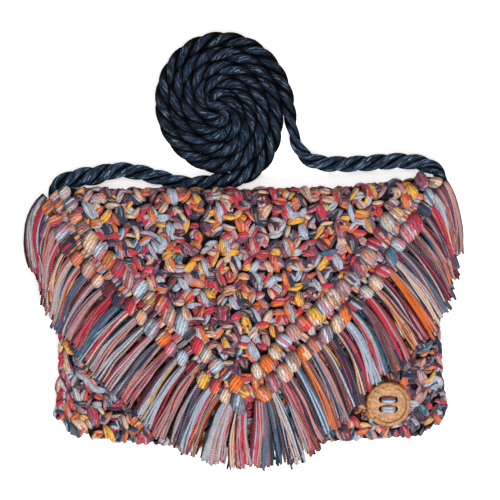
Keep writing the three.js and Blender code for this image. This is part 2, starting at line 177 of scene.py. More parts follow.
# Each cord has a square cell in the chart. Its skin begins at the first share of the cell and covers the
# second, and a small oval beside it holds each end.
chart = {"along": (0.1, 0.8), "around": (0.05, 0.9), "ends": (0.05, 0.95), "endWide": 0.03, "endHigh": 0.3}


# Corner values of a set: length along and share round each cord, and its place in a chart of all cords.
def cordCorners(cords, first, total):
    count, rings, sides = cords["points"].shape[:3]
    columns = math.ceil(math.sqrt(total))
    c, r, k = np.meshgrid(np.arange(count), np.arange(rings - 1), np.arange(sides), indexing="ij")
    ringOf = np.stack([r, r + 1, r + 1, r], -1)
    sideOf = np.stack([k, k, k + 1, k + 1], -1)
    cordOf = np.broadcast_to(c[..., None], ringOf.shape)
    number = first + cordOf
    yarnQuads = np.stack([cords["along"][cordOf, ringOf], sideOf / sides], -1)
    (alongFrom, alongSize), (aroundFrom, aroundSize) = chart["along"], chart["around"]
    chartQuads = np.stack([(number % columns + alongFrom + alongSize * ringOf / (rings - 1)) / columns,
                           (number // columns + aroundFrom + aroundSize * sideOf / sides) / columns], -1)
    order = np.arange(sides)
    turn = order * 2 * np.pi / sides
    cell = (first + np.arange(count))[:, None]
    capYarn, capChart = [], []
    for end, places, shift in zip((0, rings - 1), (order, order[::-1]), chart["ends"]):
        along = np.repeat(cords["along"][:, end, None], sides, 1)
        capYarn.append(np.stack([along, np.broadcast_to(places / sides, along.shape)], -1))
        wide, high = chart["endWide"] * np.cos(turn[places]), chart["endHigh"] * np.sin(turn[places])
        capChart.append(np.stack([cell % columns + shift + wide, cell // columns + 0.5 + high], -1) / columns)
    caps = np.concatenate(capYarn), np.concatenate(capChart)
    return [v.reshape(-1, 2) for v in (yarnQuads, chartQuads, *caps)]


def linkPiece(name, mesh, slot, material, *nodes):
    piece = addObject(name, mesh)
    mesh.materials.append(material)
    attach(piece, "root")
    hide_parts(*nodes)
    print(name, len(mesh.polygons), "faces")
    return piece


def perPoint(values, shape):  # a value for each cord, ring or point, given to each point
    values = values if values.ndim == 3 else values[..., None]
    return np.broadcast_to(values, shape).ravel()


# Puts several cord sets into one mesh, with their yarn coordinates, their chart and their colour numbers.
def cordPiece(name, sets, slot, material, *nodes):
    total = sum(len(s["points"]) for s in sets)
    points, loops, starts, totals, yarnUv, chartUv = ([] for _ in range(6))
    offset, loopCount, first = 0, 0, 0
    for s in sets:
        cords, rings, sides = s["points"].shape[:3]
        quads, caps = cordFaces(cords, rings, sides)
        quadYarn, quadChart, capYarn, capChart = cordCorners(s, first, total)
        for faces, size in ((quads, 4), (caps, sides)):
            loops.append((faces + offset).ravel())
            starts.append(loopCount + np.arange(len(faces)) * size)
            totals.append(np.full(len(faces), size))
            loopCount += faces.size
        yarnUv += [quadYarn, capYarn]
        chartUv += [quadChart, capChart]
        points.append(s["points"].reshape(-1, 3))
        offset += cords * rings * sides
        first += cords
    points = np.concatenate(points) / 1000
    loops, starts, totals = (np.concatenate(x).astype(np.int32) for x in (loops, starts, totals))
    mesh = bpy.data.meshes.new(name)
    mesh.vertices.add(len(points))
    mesh.vertices.foreach_set("co", points.ravel())
    mesh.loops.add(len(loops))
    mesh.loops.foreach_set("vertex_index", loops)
    mesh.polygons.add(len(starts))
    mesh.polygons.foreach_set("loop_start", starts)
    mesh.polygons.foreach_set("loop_total", totals)
    mesh.polygons.foreach_set("use_smooth", np.ones(len(starts), bool))
    for layer, uv in (("yarn", yarnUv), ("OFBake", chartUv)):
        mesh.uv_layers.new(name=layer, do_init=False).uv.foreach_set("vector", np.concatenate(uv).ravel())
    # the share sets the painted shade at ends, flanks and roots, and the fringe's painted shadow
    for label in ("tone", "strand", "share"):
        each = np.concatenate([perPoint(s[label], s["points"].shape[:3]) for s in sets])
        mesh.attributes.new(label, "FLOAT", "POINT").data.foreach_set("value", each)
    mesh.update(calc_edges=True)
    mesh.validate()
    return linkPiece(name, mesh, slot, material, *nodes)


# Grid of points (rows x columns x 3) as one sheet of quads, thickened to both sides.
def gridPiece(name, points, thickness, slot, material, *nodes):
    rows, columns = points.shape[:2]
    r, c = np.meshgrid(np.arange(rows - 1), np.arange(columns - 1), indexing="ij")
    at = lambda row, column: (row * columns + column).ravel()
    quads = np.stack([at(r, c), at(r + 1, c), at(r + 1, c + 1), at(r, c + 1)], -1)
    mesh = bpy.data.meshes.new(name)
    mesh.from_pydata((points.reshape(-1, 3) / 1000).tolist(), [], quads.tolist())
    mesh.polygons.foreach_set("use_smooth", np.ones(len(quads), bool))
    mesh.update()
    sheet = linkPiece(name, mesh, slot, material, *nodes)
    thick = sheet.modifiers.new("thickness", "SOLIDIFY")
    thick.thickness = thickness / 1000
    thick.offset = 0
    return sheet


# Finishes
def linear(red, green, blue):  # screen colour of 0 to 255 as light
    c = np.array([red, green, blue]) / 255
    return tuple(np.where(c <= 0.04045, c / 12.92, ((c + 0.055) / 1.055) ** 2.4))


dyes = {  # share of the yarn, screen colour
    "greyBlue": (0.18, (168, 182, 198)), "peach": (0.07, (214, 180, 152)),
    "dustyPink": (0.12, (184, 138, 136)), "crimson": (0.19, (190, 46, 68)),
    "orange": (0.10, (222, 108, 36)), "mustard": (0.07, (228, 168, 58)),
    "navy": (0.14, (36, 46, 70)), "teal": (0.03, (46, 100, 128)),
    "plum": (0.07, (112, 72, 92)), "maroon": (0.03, (88, 24, 38)),
}
dyeing = {"step": 0.7548777, "stray": 0.06, "inside": (0.2, 0.8)}
dyeShares = np.array([share for share, color in dyes.values()]) / sum(share for share, color in dyes.values())
dyeEdges = np.concatenate([[0], dyeShares.cumsum()])


# Colour numbers; a named dye's share is multiplied by its weight. Even steps through the shares give
# neighbours different dyes, so that no large patch has one colour.
def toneOf(count, weights):
    shares = dyeShares * np.array([weights.get(name, 1.0) for name in dyes])
    places = (dyeing["step"] * np.arange(count) + rng.random() + rng.normal(0, dyeing["stray"], count)) % 1
    picked = np.searchsorted(shares.cumsum() / shares.sum(), places)
    return dyeEdges[picked] + dyeShares[picked] * rng.uniform(*dyeing["inside"], count)


def calc(tree, operation, *values):
    return addNode(tree, "Math", enumerate(values), operation=operation).outputs[0]


def newGroup(name, inputs, outputs):
    group = bpy.data.node_groups.new(name, "ShaderNodeTree")
    for labels, way in ((inputs, "INPUT"), (outputs, "OUTPUT")):
        for label in labels:
            group.interface.new_socket(label, in_out=way, socket_type="NodeSocketFloat")
    return group, group.nodes.new("NodeGroupInput").outputs, group.nodes.new("NodeGroupOutput").inputs


yarnLook = {
    "yarnStart": 0.37, "cordStart": 7.0,  # where a yarn's stretches of one dye begin
    "cordKey": 731.3, "fibreKey": 173.0,  # far-apart places in the noise for each cord
    "fibreAlong": 0.8, "fibreAcross": 2.2, "fibreDetail": 3.0,
    # how much a value changes the shade, and the shade that this is added to
    "plyShade": (0.15, 0.9), "fibreShade": (1.7, 0.15), "ownShade": (0.3, 0.85),
    # width of the painted flank shade and power of the painted end shade; the bump's heights
    "cordFlankWidth": 1.1, "endPower": 2.0, "plyHeight": 0.18, "fibreHeight": 0.35,
    "bump": 0.5, "bumpHeight": 0.0006, "rough": 0.85, "sheenRough": 0.5,
}


# Yarns of a cord: each keeps the cord's colour number or, by chance, one of its own. Painted shade darkens
# it between yarns, on the cord's flanks and underside and at its ends, and in bands along each ply; fibre
# noise and each yarn's own brightness vary its tone. Height is round over a yarn.
def makeYarnGroup():
    inputs = ("along", "around", "tone", "strand", "share", "yarns", "twist", "otherShare", "ply", "run",
              "edgeDark", "edgeReach", "endDark", "grooveShade")
    group, given, out = newGroup("yarnStreaks", inputs, ("pick", "shade", "height"))
    plus = lambda a, b: calc(group, "ADD", a, b)
    less = lambda a, b: calc(group, "SUBTRACT", a, b)
    times = lambda a, b: calc(group, "MULTIPLY", a, b)
    timesPlus = lambda a, b, c: calc(group, "MULTIPLY_ADD", a, b, c)
    floor = lambda a: calc(group, "FLOOR", a)
    sine = lambda a: calc(group, "SINE", a)
    lane = plus(times(given["around"], given["yarns"]), times(given["along"], given["twist"]))
    yarn = calc(group, "FLOORED_MODULO", floor(lane), given["yarns"])
    place = calc(group, "FRACT", lane)
    begin = timesPlus(yarn, yarnLook["yarnStart"], times(given["strand"], yarnLook["cordStart"]))
    stretch = floor(timesPlus(given["along"], given["run"], begin))
    key = addNode(group, "CombineXYZ", {  # halves keep the key clear of rounding
        0: times(given["strand"], yarnLook["cordKey"]), 1: plus(yarn, 0.5), 2: plus(stretch, 3.5)})
    chance = addNode(group, "TexWhiteNoise", {"Vector": key.outputs[0]})
    drawn, turned, bright = addNode(group, "SeparateColor", {0: chance.outputs["Color"]}).outputs[:3]
    differs = calc(group, "LESS_THAN", turned, given["otherShare"])
    pick = plus(given["tone"], times(less(drawn, given["tone"]), differs))
    across = less(times(place, 2.0), 1.0)
    hump = less(1.0, times(across, across))
    wave = sine(times(plus(times(given["along"], given["ply"]), place), 2 * math.pi))
    spot = addNode(group, "CombineXYZ", {
        0: times(given["along"], yarnLook["fibreAlong"]), 1: times(lane, yarnLook["fibreAcross"]),
        2: times(given["strand"], yarnLook["fibreKey"])})
    fibre = addNode(group, "TexNoise", {
        "Scale": 1.0, "Detail": yarnLook["fibreDetail"], "Vector": spot.outputs[0]}).outputs[0]
    # painted shade between yarns, then painted bands along each ply and the tone of fibres and of each yarn
    shade = less(1.0, times(less(1.0, hump), given["grooveShade"]))
    for change, look in ((wave, "plyShade"), (fibre, "fibreShade"), (bright, "ownShade")):
        shade = times(shade, timesPlus(change, *yarnLook[look]))
    # painted shade on the cord's flanks and underside, lightest on its top
    crest = sine(times(given["around"], 2 * math.pi))
    cordCrestLit = addNode(group, "MapRange", {
        "From Min": less(given["edgeReach"], yarnLook["cordFlankWidth"]), "From Max": given["edgeReach"],
        "Value": crest}, interpolation_type="SMOOTHSTEP")
    shade = times(shade, less(1.0, times(less(1.0, cordCrestLit.outputs[0]), given["edgeDark"])))
    # painted shade by the share: darkest where it nears 0 or 1, as at the cord's ends
    rise = sine(times(given["share"], math.pi))
    ends = calc(group, "POWER", less(1.0, rise), yarnLook["endPower"])
    shade = times(shade, less(1.0, times(ends, given["endDark"])))
    height = timesPlus(fibre, yarnLook["fibreHeight"], plus(hump, times(wave, yarnLook["plyHeight"])))
    for label, value in (("pick", pick), ("shade", shade), ("height", height)):
        group.links.new(value, out[label])
    return group


yarnGroup = makeYarnGroup()


def addRamp(tree, socket, stops, blending):  # stops are a place and a colour as light
    ramp = addNode(tree, "ValToRGB", {0: socket})
    bands = ramp.color_ramp
    bands.interpolation = blending
    bands.elements.remove(bands.elements[1])
    for number, (place, color) in enumerate(stops):
        band = bands.elements[0] if number == 0 else bands.elements.new(place)
        band.position = place
        band.color = (*color, 1)
    return ramp.outputs[0]


# defaults of the yarn group; the last four set its painted shade
plainYarn = {"twist": 0.03, "otherShare": 0.4, "ply": 0.6, "run": 0.02, "edgeDark": 0.8, "edgeReach": 0.75,
             "endDark": 0.8, "grooveShade": 0.45}


# Yarn finish: the cord's own dye mixed with each yarn's dye, darkened by the group's painted shade and fibre
# tone.
def yarnFinish(name, stops, blend=0.7, sheen=0.1, gloss=0.25, **changed):
    material, tree, shader = newMaterial(name, {
        "Roughness": yarnLook["rough"], "Specular IOR Level": gloss, "Sheen Weight": sheen,
        "Sheen Roughness": yarnLook["sheenRough"]})
    uv = addNode(tree, "UVMap", uv_map="yarn")
    parts = addNode(tree, "SeparateXYZ", {0: uv.outputs[0]}).outputs
    read = {label: addNode(tree, "Attribute", attribute_name=label).outputs["Fac"]
            for label in ("tone", "strand", "share")}
    streaks = addNode(tree, "Group", {
        "along": parts[0], "around": parts[1], **read, **plainYarn, **changed}, node_tree=yarnGroup).outputs
    mix = addNode(tree, "Mix", {
        "Factor": blend, "A": addRamp(tree, read["tone"], stops, "CONSTANT"),
        "B": addRamp(tree, streaks["pick"], stops, "CONSTANT")}, data_type="RGBA")
    shaded = addNode(tree, "VectorMath", {
        0: mix.outputs["Result"], "Scale": streaks["shade"]}, operation="SCALE")
    raised = addNode(tree, "Bump", {
        "Strength": yarnLook["bump"], "Distance": yarnLook["bumpHeight"], "Height": streaks["height"]})
    feedNode(tree, shader, {"Base Color": shaded.outputs[0], "Normal": raised.outputs[0]})
    return material


dyeStops = [(edge, linear(*color)) for edge, (share, color) in zip(dyeEdges, dyes.values())]
# each finish may change the strength of the shade painted on its cords' flanks, ends and between yarns
knotYarn = yarnFinish("knotYarn", dyeStops, yarns=8, twist=0.15, otherShare=0.5, run=0.28, blend=0.42,
                      edgeDark=0.95, edgeReach=0.72)
barYarn = yarnFinish("barYarn", dyeStops, yarns=12, otherShare=0.62, ply=0.3, run=0.09, blend=0.72,
                     edgeDark=0.95, edgeReach=0.95)
fringeYarn = yarnFinish("fringeYarn", dyeStops, yarns=2, twist=1.3, otherShare=0.55, ply=0.0, run=0.02,
                        blend=0.36, edgeDark=0.9, endDark=1.0, sheen=0.03, gloss=0.12)
laceYarn = yarnFinish("laceYarn", dyeStops, yarns=5, otherShare=0.2, endDark=0.5)
ropeBlues = {0: (20, 28, 39), 0.3: (37, 52, 69), 0.6: (61, 84, 108), 0.84: (97, 122, 149),
             0.95: (142, 164, 185)}
ropeStops = [(place, linear(*color)) for place, color in ropeBlues.items()]
ropeCotton = yarnFinish("ropeCotton", ropeStops, yarns=24, twist=-0.06, otherShare=0.95, ply=0.0, run=0.3,
                        blend=0.9, edgeDark=0.9, edgeReach=0.8, endDark=1.0, sheen=0.0, gloss=0.08)
# cloth under the knots, near-black as painted shade in the holes between them
under = {"color": (24, 14, 20), "shades": (0.5, 1.6), "grain": 900, "rough": 0.95, "gloss": 0.15}


# Cloth under the knots, painted near-black for the shade in the holes between them: a fine noise between two
# shades of one colour.
def groundShadedFinish():
    material, tree, shader = newMaterial("groundYarnShaded", {
        "Roughness": under["rough"], "Specular IOR Level": under["gloss"]})
    place = addNode(tree, "TexCoord").outputs["Object"]
    grain = addNode(tree, "TexNoise", {"Scale": under["grain"], "Vector": place}).outputs[0]
    stops = [(end, shade * np.array(linear(*under["color"]))) for end, shade in enumerate(under["shades"])]
    feedNode(tree, shader, {"Base Color": addRamp(tree, grain, stops, "LINEAR")})
    return material


groundYarnShaded = groundShadedFinish()
print("finishes ready")

# Rope strap: left end, double spiral, right end
rope = {
    "diameter": 8.2, "lay": 40.0, "ring": 2.75, "strandWide": 2.86, "strandHigh": 2.15, "lift": 1.3,
    "step": 1.4, "tones": (0.3, 0.45, 0.7), "sides": 14,
    "coilX": -18.0, "coilY": 141.9, "coreAngle": 135.0, "coreHalf": 5.0, "coreFade": 12.0, "coreSharp": 2.2,
    "pitch": 9.1, "oval": 0.35, "slack": {"angle": -66.0, "spread": 45.0, "most": 1.3},
    "right": {"start": 225.0, "sweep": 955.0}, "left": {"start": 45.0, "sweep": 858.0},
    "firstTurn": 4.0, "turnStep": 8.0, "soft": {"step": 0.5, "reach": 12, "spread": 1.6},
    "flatten": (0.74, 0.43), "tie": {"x": -106.0, "spread": 11.0, "most": 0.38},
    "lobes": {"from": 36.0, "to": 44.0, "most": 0.17},
    # painted shade on the strands' lower flanks, strongest in the coil where turns meet; the coil is also
    # painted darker as a whole
    "flankShade": {"from": 46.0, "to": 58.0, "coil": 0.6, "free": 0.1, "coilMost": 0.13, "freeMost": 0.5,
              "fade": 0.4},
    "leftRoute": [(-34, 89.7), (-42.8, 90.4), (-57.4, 94.2), (-71.5, 97.9), (-86.2, 99.2), (-100, 95.8),
                  (-110, 94.4), (-119, 92.6), (-126.5, 89.5), (-128, 82), (-126, 69)],
    "rightRoute": [(31.5, 128.2), (33.4, 120.4), (36.8, 112.4), (44.8, 105.6), (58.8, 103.4), (80.8, 103.9),
                   (98.9, 105.4), (113.6, 104.8), (124.2, 101.8), (131, 96.2), (132, 88), (128.1, 78),
                   (127.3, 69)],
}


# One arm of the spiral, from its core outwards. The distance from the core grows by one pitch in each half
# turn; the pitch is larger up and down than across, and largest where the strap pulls. Near the middle the
# points move along the core's own direction, which makes the core straight. The third value is the rope's
# breadth there, as the pitch over the diameter.
def spiralArm(end):
    turned = np.arange(rope["firstTurn"], end["sweep"], rope["turnStep"])
    normal = np.radians(end["start"] - turned)
    slack = rope["slack"]
    pulled = (end["start"] - turned - slack["angle"] + 180) % 360 - 180
    pitch = rope["pitch"] - rope["oval"] * np.cos(2 * normal)
    pitch = pitch + slack["most"] * np.exp(-(pulled / slack["spread"]) ** 2)
    away = pitch * turned / 180
    core = np.radians(rope["coreAngle"])
    alongCore = np.tanh(rope["coreSharp"] * np.cos(normal - core))
    shift = rope["coreHalf"] * np.exp(-away / rope["coreFade"]) * alongCore
    x = rope["coilX"] + shift * np.cos(core) + away * np.cos(normal)
    y = rope["coilY"] + shift * np.sin(core) + away * np.sin(normal)
    return np.stack([x, y, pitch / rope["diameter"]], 1)


# A free stretch. Its breadth grows with the square of its run across the bag, and is most where its left
# end is tied.
def ropeRoute(route):
    route = np.array(route)
    ahead = unit(np.gradient(route, axis=0))
    tie, (least, more) = rope["tie"], rope["flatten"]
    thick = tie["most"] * np.exp(-((route[:, 0] - tie["x"]) / tie["spread"]) ** 2)
    return np.column_stack([route, least + more * ahead[:, 0] ** 2 + thick])


# The whole line in even steps: a smooth curve through the stops, then a running mean with bell-shaped
# weights, which pulls it softly through the tight core.
def ropeLine():
    stops = np.concatenate([ropeRoute(rope["leftRoute"])[::-1], spiralArm(rope["left"])[::-1],
                            spiralArm(rope["right"]), ropeRoute(rope["rightRoute"])])
    soft = rope["soft"]
    reach = soft["reach"]
    span = lengthAlong(stops[:, :2])
    fine = np.arange(0, span[-1], soft["step"])
    line = np.stack([readTable(span, stops[:, i], fine) for i in range(3)], 1)
    weights = np.exp(-0.5 * (np.arange(-reach, reach + 1) * soft["step"] / soft["spread"]) ** 2)
    padded = np.concatenate([np.repeat(line[:1], reach, 0), line, np.repeat(line[-1:], reach, 0)])
    line = np.stack([np.convolve(padded[:, i], weights / weights.sum(), "valid") for i in range(3)], 1)
    span = lengthAlong(line[:, :2])
    even = np.linspace(0, span[-1], int(span[-1] / rope["step"]))
    x, y, broad = (np.interp(even, span, line[:, i]) for i in range(3))
    return np.stack([x, y, np.full(len(even), rope["diameter"] / 2 + rope["lift"])], 1), broad, even


# Three strands wind round the line, one turn in each lay length, rounder outside the coil. Their lower
# flanks get painted shade, most of all where turns meet, and the coil's strands are painted darker as a
# whole.
def makeRope():
    line, broad, span = ropeLine()
    ahead = unit(np.gradient(line, axis=0))
    across = np.stack([-ahead[:, 1], ahead[:, 0], np.zeros(len(line))], 1) * broad[:, None]
    phase = -2 * np.pi * span / rope["lay"] + np.arange(3)[:, None] * 2 * np.pi / 3
    outwards = np.cos(phase)[..., None] * across + np.sin(phase)[..., None] * upwards
    away = np.hypot(line[:, 0] - rope["coilX"], line[:, 1] - rope["coilY"])
    lobes, flankShade = rope["lobes"], rope["flankShade"]
    slim = 1 - lobes["most"] * ease(away, lobes["from"], lobes["to"])
    strands = cordSet(line + rope["ring"] * outwards, outwards, rope["strandWide"] * broad * slim,
                      rope["strandHigh"] * np.sqrt(broad), np.array(rope["tones"]), sides=rope["sides"],
                      ridge=0)
    # painted shade: the share falls to 0 on the strands' lower parts, and in the coil its top stays low
    rise = (strands["points"][..., 2] - line[0, 2]) / (rope["ring"] + rope["strandHigh"])
    loose = ease(away, flankShade["from"], flankShade["to"])[:, None]
    dark = flankShade["coil"] + (flankShade["free"] - flankShade["coil"]) * loose
    most = flankShade["coilMost"] + (flankShade["freeMost"] - flankShade["coilMost"]) * loose
    strands["share"] = most * np.clip((rise - dark) / flankShade["fade"], 0, 1)
    piece = cordPiece("ropeStrap", [strands], "strap_rope", ropeCotton,
                      "strap_left", "strap_right", "strap_coil")
    print("rope", round(float(span[-1])), "mm")


makeRope()

# The lying bag: edges and heights
bag = {
    "left": -121.0, "rightX": 126.6, "slant": 0.055, "cloth": 4.6, "seam": 0.8, "puff": 8.0, "cover": 0.6,
    "sidePower": 6, "lowPower": 5, "knotRise": 2.4, "foldDepth": 12.5, "mouthDepth": 16.5, "width": 250.0,
    "topX": [-122, -105, -50, 18, 59, 82, 103, 125], "topY": [90.5, 87.8, 87.4, 87.0, 88.2, 90.4, 92.8, 97.4],
    "lowX": [-121, -117, -107, -47, 3, 50, 101, 117, 125, 129.6],
    "lowY": [-67.5, -77, -80.0, -85.6, -86.6, -84, -79.4, -77.6, -74, -66],
    "lowLine": -62.0, "highLine": 85.0, "bendLine": 5.0,
    "bareFull": -5.0, "bareNone": 20.0, "droopStart": 9.0, "droopEnd": 26.0, "droopLow": 2.4,
}
half = bag["cloth"] / 2  # of the cloth's thickness


def topEdge(x):
    return readTable(bag["topX"], bag["topY"], x)


def lowEdge(x):
    return readTable(bag["lowX"], bag["lowY"], x)


def rightEdge(y):
    return bag["rightX"] - bag["slant"] * y


def acrossBag(side, y):  # side runs from 0 at the left edge to 1 at the right edge
    return bag["left"] + side * (rightEdge(y) - bag["left"])


# Outer height of the front: two cloths at the sides and the fold, and between them a swelling over the
# empty pouch that falls off with high powers of the distance from its middle and from its top.
def frontHeight(side, up):
    swell = (1 - np.abs(2 * side - 1) ** bag["sidePower"]) * (1 - (1 - up) ** bag["lowPower"])
    return 2 * bag["cloth"] + bag["seam"] + bag["puff"] * swell


# Height at which a cover lies on the front and its knots; past the bag's edge it droops towards the floor.
def rideHeight(x, y):
    innerY = np.clip(y, lowEdge(x), topEdge(x) - bag["foldDepth"])
    innerX = np.clip(x, bag["left"], rightEdge(innerY))
    side = (innerX - bag["left"]) / (rightEdge(innerY) - bag["left"])
    low, high = lowEdge(innerX), topEdge(innerX) - bag["mouthDepth"]
    up = np.clip((innerY - low) / (high - low), 0, 1)
    onKnots = bag["knotRise"] * (1 - ease(innerY, bag["bareFull"], bag["bareNone"]))
    seat = frontHeight(side, up) + onKnots + bag["cover"]
    outside = np.hypot(x - innerX, y - innerY)
    return seat - (seat - bag["droopLow"]) * ease(outside, bag["droopStart"], bag["droopEnd"])


# Middle of the pouch's cloth. Down is 0 where the fold begins, negative up the front, then half a turn
# round the bottom fold, then on up the back.
def pouchPoint(side, down):
    low = lowEdge(acrossBag(side, bag["lowLine"]))
    high = topEdge(acrossBag(side, bag["highLine"])) - bag["mouthDepth"]
    bend = (frontHeight(side, bag["bendLine"] / (high - low)) - 2 * half) / 2 - half / 2
    middleY = low + half + bend
    turn = np.clip(down / bend, 0, np.pi)
    y = np.where(down < 0, middleY - down, middleY - bend * np.sin(turn))
    y = np.where(down > np.pi * bend, middleY + (down - np.pi * bend), y)
    frontZ = frontHeight(side, np.clip((middleY - down - low) / (high - low), 0, 1)) - half
    startZ = frontHeight(side, (middleY - low) / (high - low)) - half
    z = np.where(down < 0, frontZ, half + (startZ - half) * (1 + np.cos(turn)) / 2)
    return np.stack([acrossBag(side, y), y, z], -1)


# The direction out of a sheet, from the slopes of its point function.
def outOf(sheet, first, second, step=(0.004, 0.6)):
    alongFirst = sheet(first + step[0], second) - sheet(first - step[0], second)
    alongSecond = sheet(first, second + step[1]) - sheet(first, second - step[1])
    return unit(np.cross(alongSecond, alongFirst))


# Lines of the hitched bars along the V, each from its corner to the tip
bars = {
    "left": {"innerX": [-123, -112.5, -102, -80.2, -53.4, -26.7, -2.5],
             "innerY": [88, 67, 50.5, 29, 5.5, -22, -46.5],
             "outerX": [-132.6, -124, -112, -91, -64, -37.5, -1],
             "outerY": [78.4, 60.5, 41, 19.5, -4.5, -31.5, -60]},
    "right": {"innerX": [119.6, 105.5, 93, 78.8, 56.8, 28, 6],
              "innerY": [95.6, 75.5, 61, 37.7, 12.4, -13, -38.5],
              "outerX": [129.2, 118, 103.5, 90, 67.5, 39, 8.6],
              "outerY": [94.4, 70, 51.5, 29.5, 3, -22.5, -53.2]},
    "samples": 60, "fineSamples": 400, "slopeStep": 0.01,
    "dyes": {"greyBlue": 1.6, "peach": 2.4, "dustyPink": 1.4, "orange": 1.2, "mustard": 1.1, "navy": 0.9,
             "teal": 1.2, "plum": 0.6},
}


def barPoint(side, row, t):  # a bar's line from its corner (0) to the tip (1)
    line = bars[side]
    place = np.linspace(0, 1, len(line[row + "X"]))
    return np.stack([readTable(place, line[row + "X"], t), readTable(place, line[row + "Y"], t)], -1)


# Square knots: two bars across each knot, and legs that run on to the knots below, each of two strands
knots = {
    "column": 22.0, "row": 11.5, "rings": 6, "span": (0.02, 0.98), "sides": 8,
    "jitter": 1.5, "sway": 0.9, "roll": 1.5, "rollStray": 0.5, "sizes": (0.85, 1.15), "loose": 0.4,
    "apart": 0.5, "slim": 0.78, "flat": 0.9, "pointed": 0.16, "swellPower": 0.75, "liftPower": 0.7,
    "sameDye": 0.55, "pressed": 0.2, "pressedHigh": 0.55, "pressFrom": -0.6, "pressTo": 0.5, "past": 0.005,
    # depth and thickness of the cloth under the knots; where the fringe's painted shadow on the knots begins
    # and is full, and its strength
    "groundDepth": 1.7, "groundThick": 1.4, "shadeFrom": -48, "shadeTo": -34, "shadeMost": 0.8,
    # start and end from the knot's middle, half width, half height, how high the middle and the ends lie
    "leaves": [
        {"from": (4.8, -3.4), "to": (11.6, 0.8), "wide": 1.9, "high": 1.4, "middle": 0.3, "ends": -0.8},
        {"from": (5.6, -0.8), "to": (10.6, 8.2), "wide": 1.9, "high": 1.4, "middle": 0.5, "ends": -0.8},
        {"from": (-4.8, -9.2), "to": (4.6, -10.4), "wide": 2.1, "high": 1.6, "middle": 1.2, "ends": -0.4},
        {"from": (-3.2, -11.2), "to": (3.6, -18.8), "wide": 2.2, "high": 1.6, "middle": 1.4, "ends": -0.5},
        {"from": (-6.4, 1.6), "to": (-12.0, -8.6), "wide": 1.9, "high": 1.6, "middle": 1.5, "ends": -0.3},
        {"from": (-2.2, -1.6), "to": (-8.6, -11.4), "wide": 2.0, "high": 1.6, "middle": 1.9, "ends": -0.3},
        {"from": (0.4, -3.8), "to": (6.6, -13.8), "wide": 2.2, "high": 1.6, "middle": 1.7, "ends": -0.4},
        {"from": (3.0, 0.6), "to": (10.2, -12.8), "wide": 2.7, "high": 1.9, "middle": 2.4, "ends": -0.3},
        {"from": (-4.8, -3.6), "to": (5.2, -2.4), "wide": 2.0, "high": 1.6, "middle": 2.1, "ends": 0.3},
        {"from": (-5.6, 1.6), "to": (5.4, 2.2), "wide": 2.2, "high": 1.7, "middle": 2.5, "ends": 0.4},
    ],
}


# How deep a place on the front lies in the fringe's shade: 1 under the outer bars, 0 past the fringe's ends.
def underFringe(x, y):
    t = np.linspace(0, 1, bars["samples"])
    line = np.concatenate([barPoint("left", "outer", t), barPoint("right", "outer", t)[::-1]])
    return ease(y - np.interp(x, line[:, 0], line[:, 1]), knots["shadeFrom"], knots["shadeTo"])


# Leaf-shaped pairs of strands on a sheet: a pair's centre line runs straight from start to end in the
# sheet's own coordinates and rises in an arch of sin(pi t) along its outward direction. Its two strands lie
# side by side, roll about one another and swell as powers of that arch. The floor flattens those below.
def knotLeaves(sheet, perSide, middles, dyeWeights, sides=knots["sides"], spill=None, shade=None):
    t = np.linspace(*knots["span"], knots["rings"])
    arch = np.sin(np.pi * t)
    count = len(middles)
    pointed, pressed, pressedHigh = knots["pointed"], knots["pressed"], knots["pressedHigh"]
    sets = []
    for leaf in knots["leaves"]:
        shift = rng.normal(0, knots["jitter"], (2, count, 2))
        start = middles + np.array(leaf["from"]) + shift[0]
        run = middles + np.array(leaf["to"]) + shift[1] - start
        aside = unit(np.stack([-run[:, 1], run[:, 0]], 1))
        sway = rng.normal(0, knots["sway"], (count, 1)) * arch
        roll = rng.normal(0, knots["rollStray"], (count, 1)) + knots["roll"] * (t - 0.5)
        size = rng.uniform(*knots["sizes"], (count, 1))
        loose = rng.normal(0, knots["loose"], (count, 1))
        dye = toneOf(count, dyeWeights)
        for strand in (-1, 1):
            gap = strand * knots["apart"] * leaf["wide"] * size * np.sqrt(arch)
            off = sway + gap * np.cos(roll)
            flat = start[:, None] + run[:, None] * t[:, None] + aside[:, None] * off[..., None]
            first, second = flat[..., 0] / perSide, -flat[..., 1]
            kept = np.ones(count, bool)
            if spill:  # how far knots may stand out past the sides
                room = spill(second)
                kept = np.abs(first.mean(1) - 0.5) < 0.5 + room.mean(1) + knots["past"]
                first, second = np.clip(first, -room, 1 + room)[kept], second[kept]
            ups = outOf(sheet, first, second)
            press = pressed + (1 - pressed) * ease(ups[..., 2], knots["pressFrom"], knots["pressTo"])
            lift = leaf["ends"] + (leaf["middle"] - leaf["ends"]) * arch ** knots["liftPower"]
            lift = lift + loose + gap * np.sin(roll)
            paths = sheet(first, second) + ups * (press * lift[kept])[..., None]
            swell = (size * (pointed + (1 - pointed) * arch ** knots["swellPower"]))[kept]
            wide = knots["slim"] * leaf["wide"] * swell
            high = knots["flat"] * leaf["high"] * swell * (pressedHigh + (1 - pressedHigh) * press)
            tone = np.where(rng.random(count) < knots["sameDye"], dye, toneOf(count, dyeWeights))[kept]
            strands = cordSet(paths, ups, wide, high, tone, sides=sides, ridge=0)
            # painted shadow of the fringe: a lower share darkens the knots under it
            if shade:
                shaded = knots["shadeMost"] * shade(paths[..., 0], paths[..., 1])
                strands["share"] = strands["share"] * (1 - shaded)
            sets.append(strands)
    return sets


# Middles of the knots, in rows down a sheet; every second row stands half a column aside.
def knotMiddles(rows, left, right, first):
    middles = []
    for row in rows:
        a = np.arange(left + 0.5 * knots["column"] * (row % 2), right, knots["column"])
        middles.append(np.stack([a, np.full(len(a), first - knots["row"] * row)], 1))
    return np.concatenate(middles)


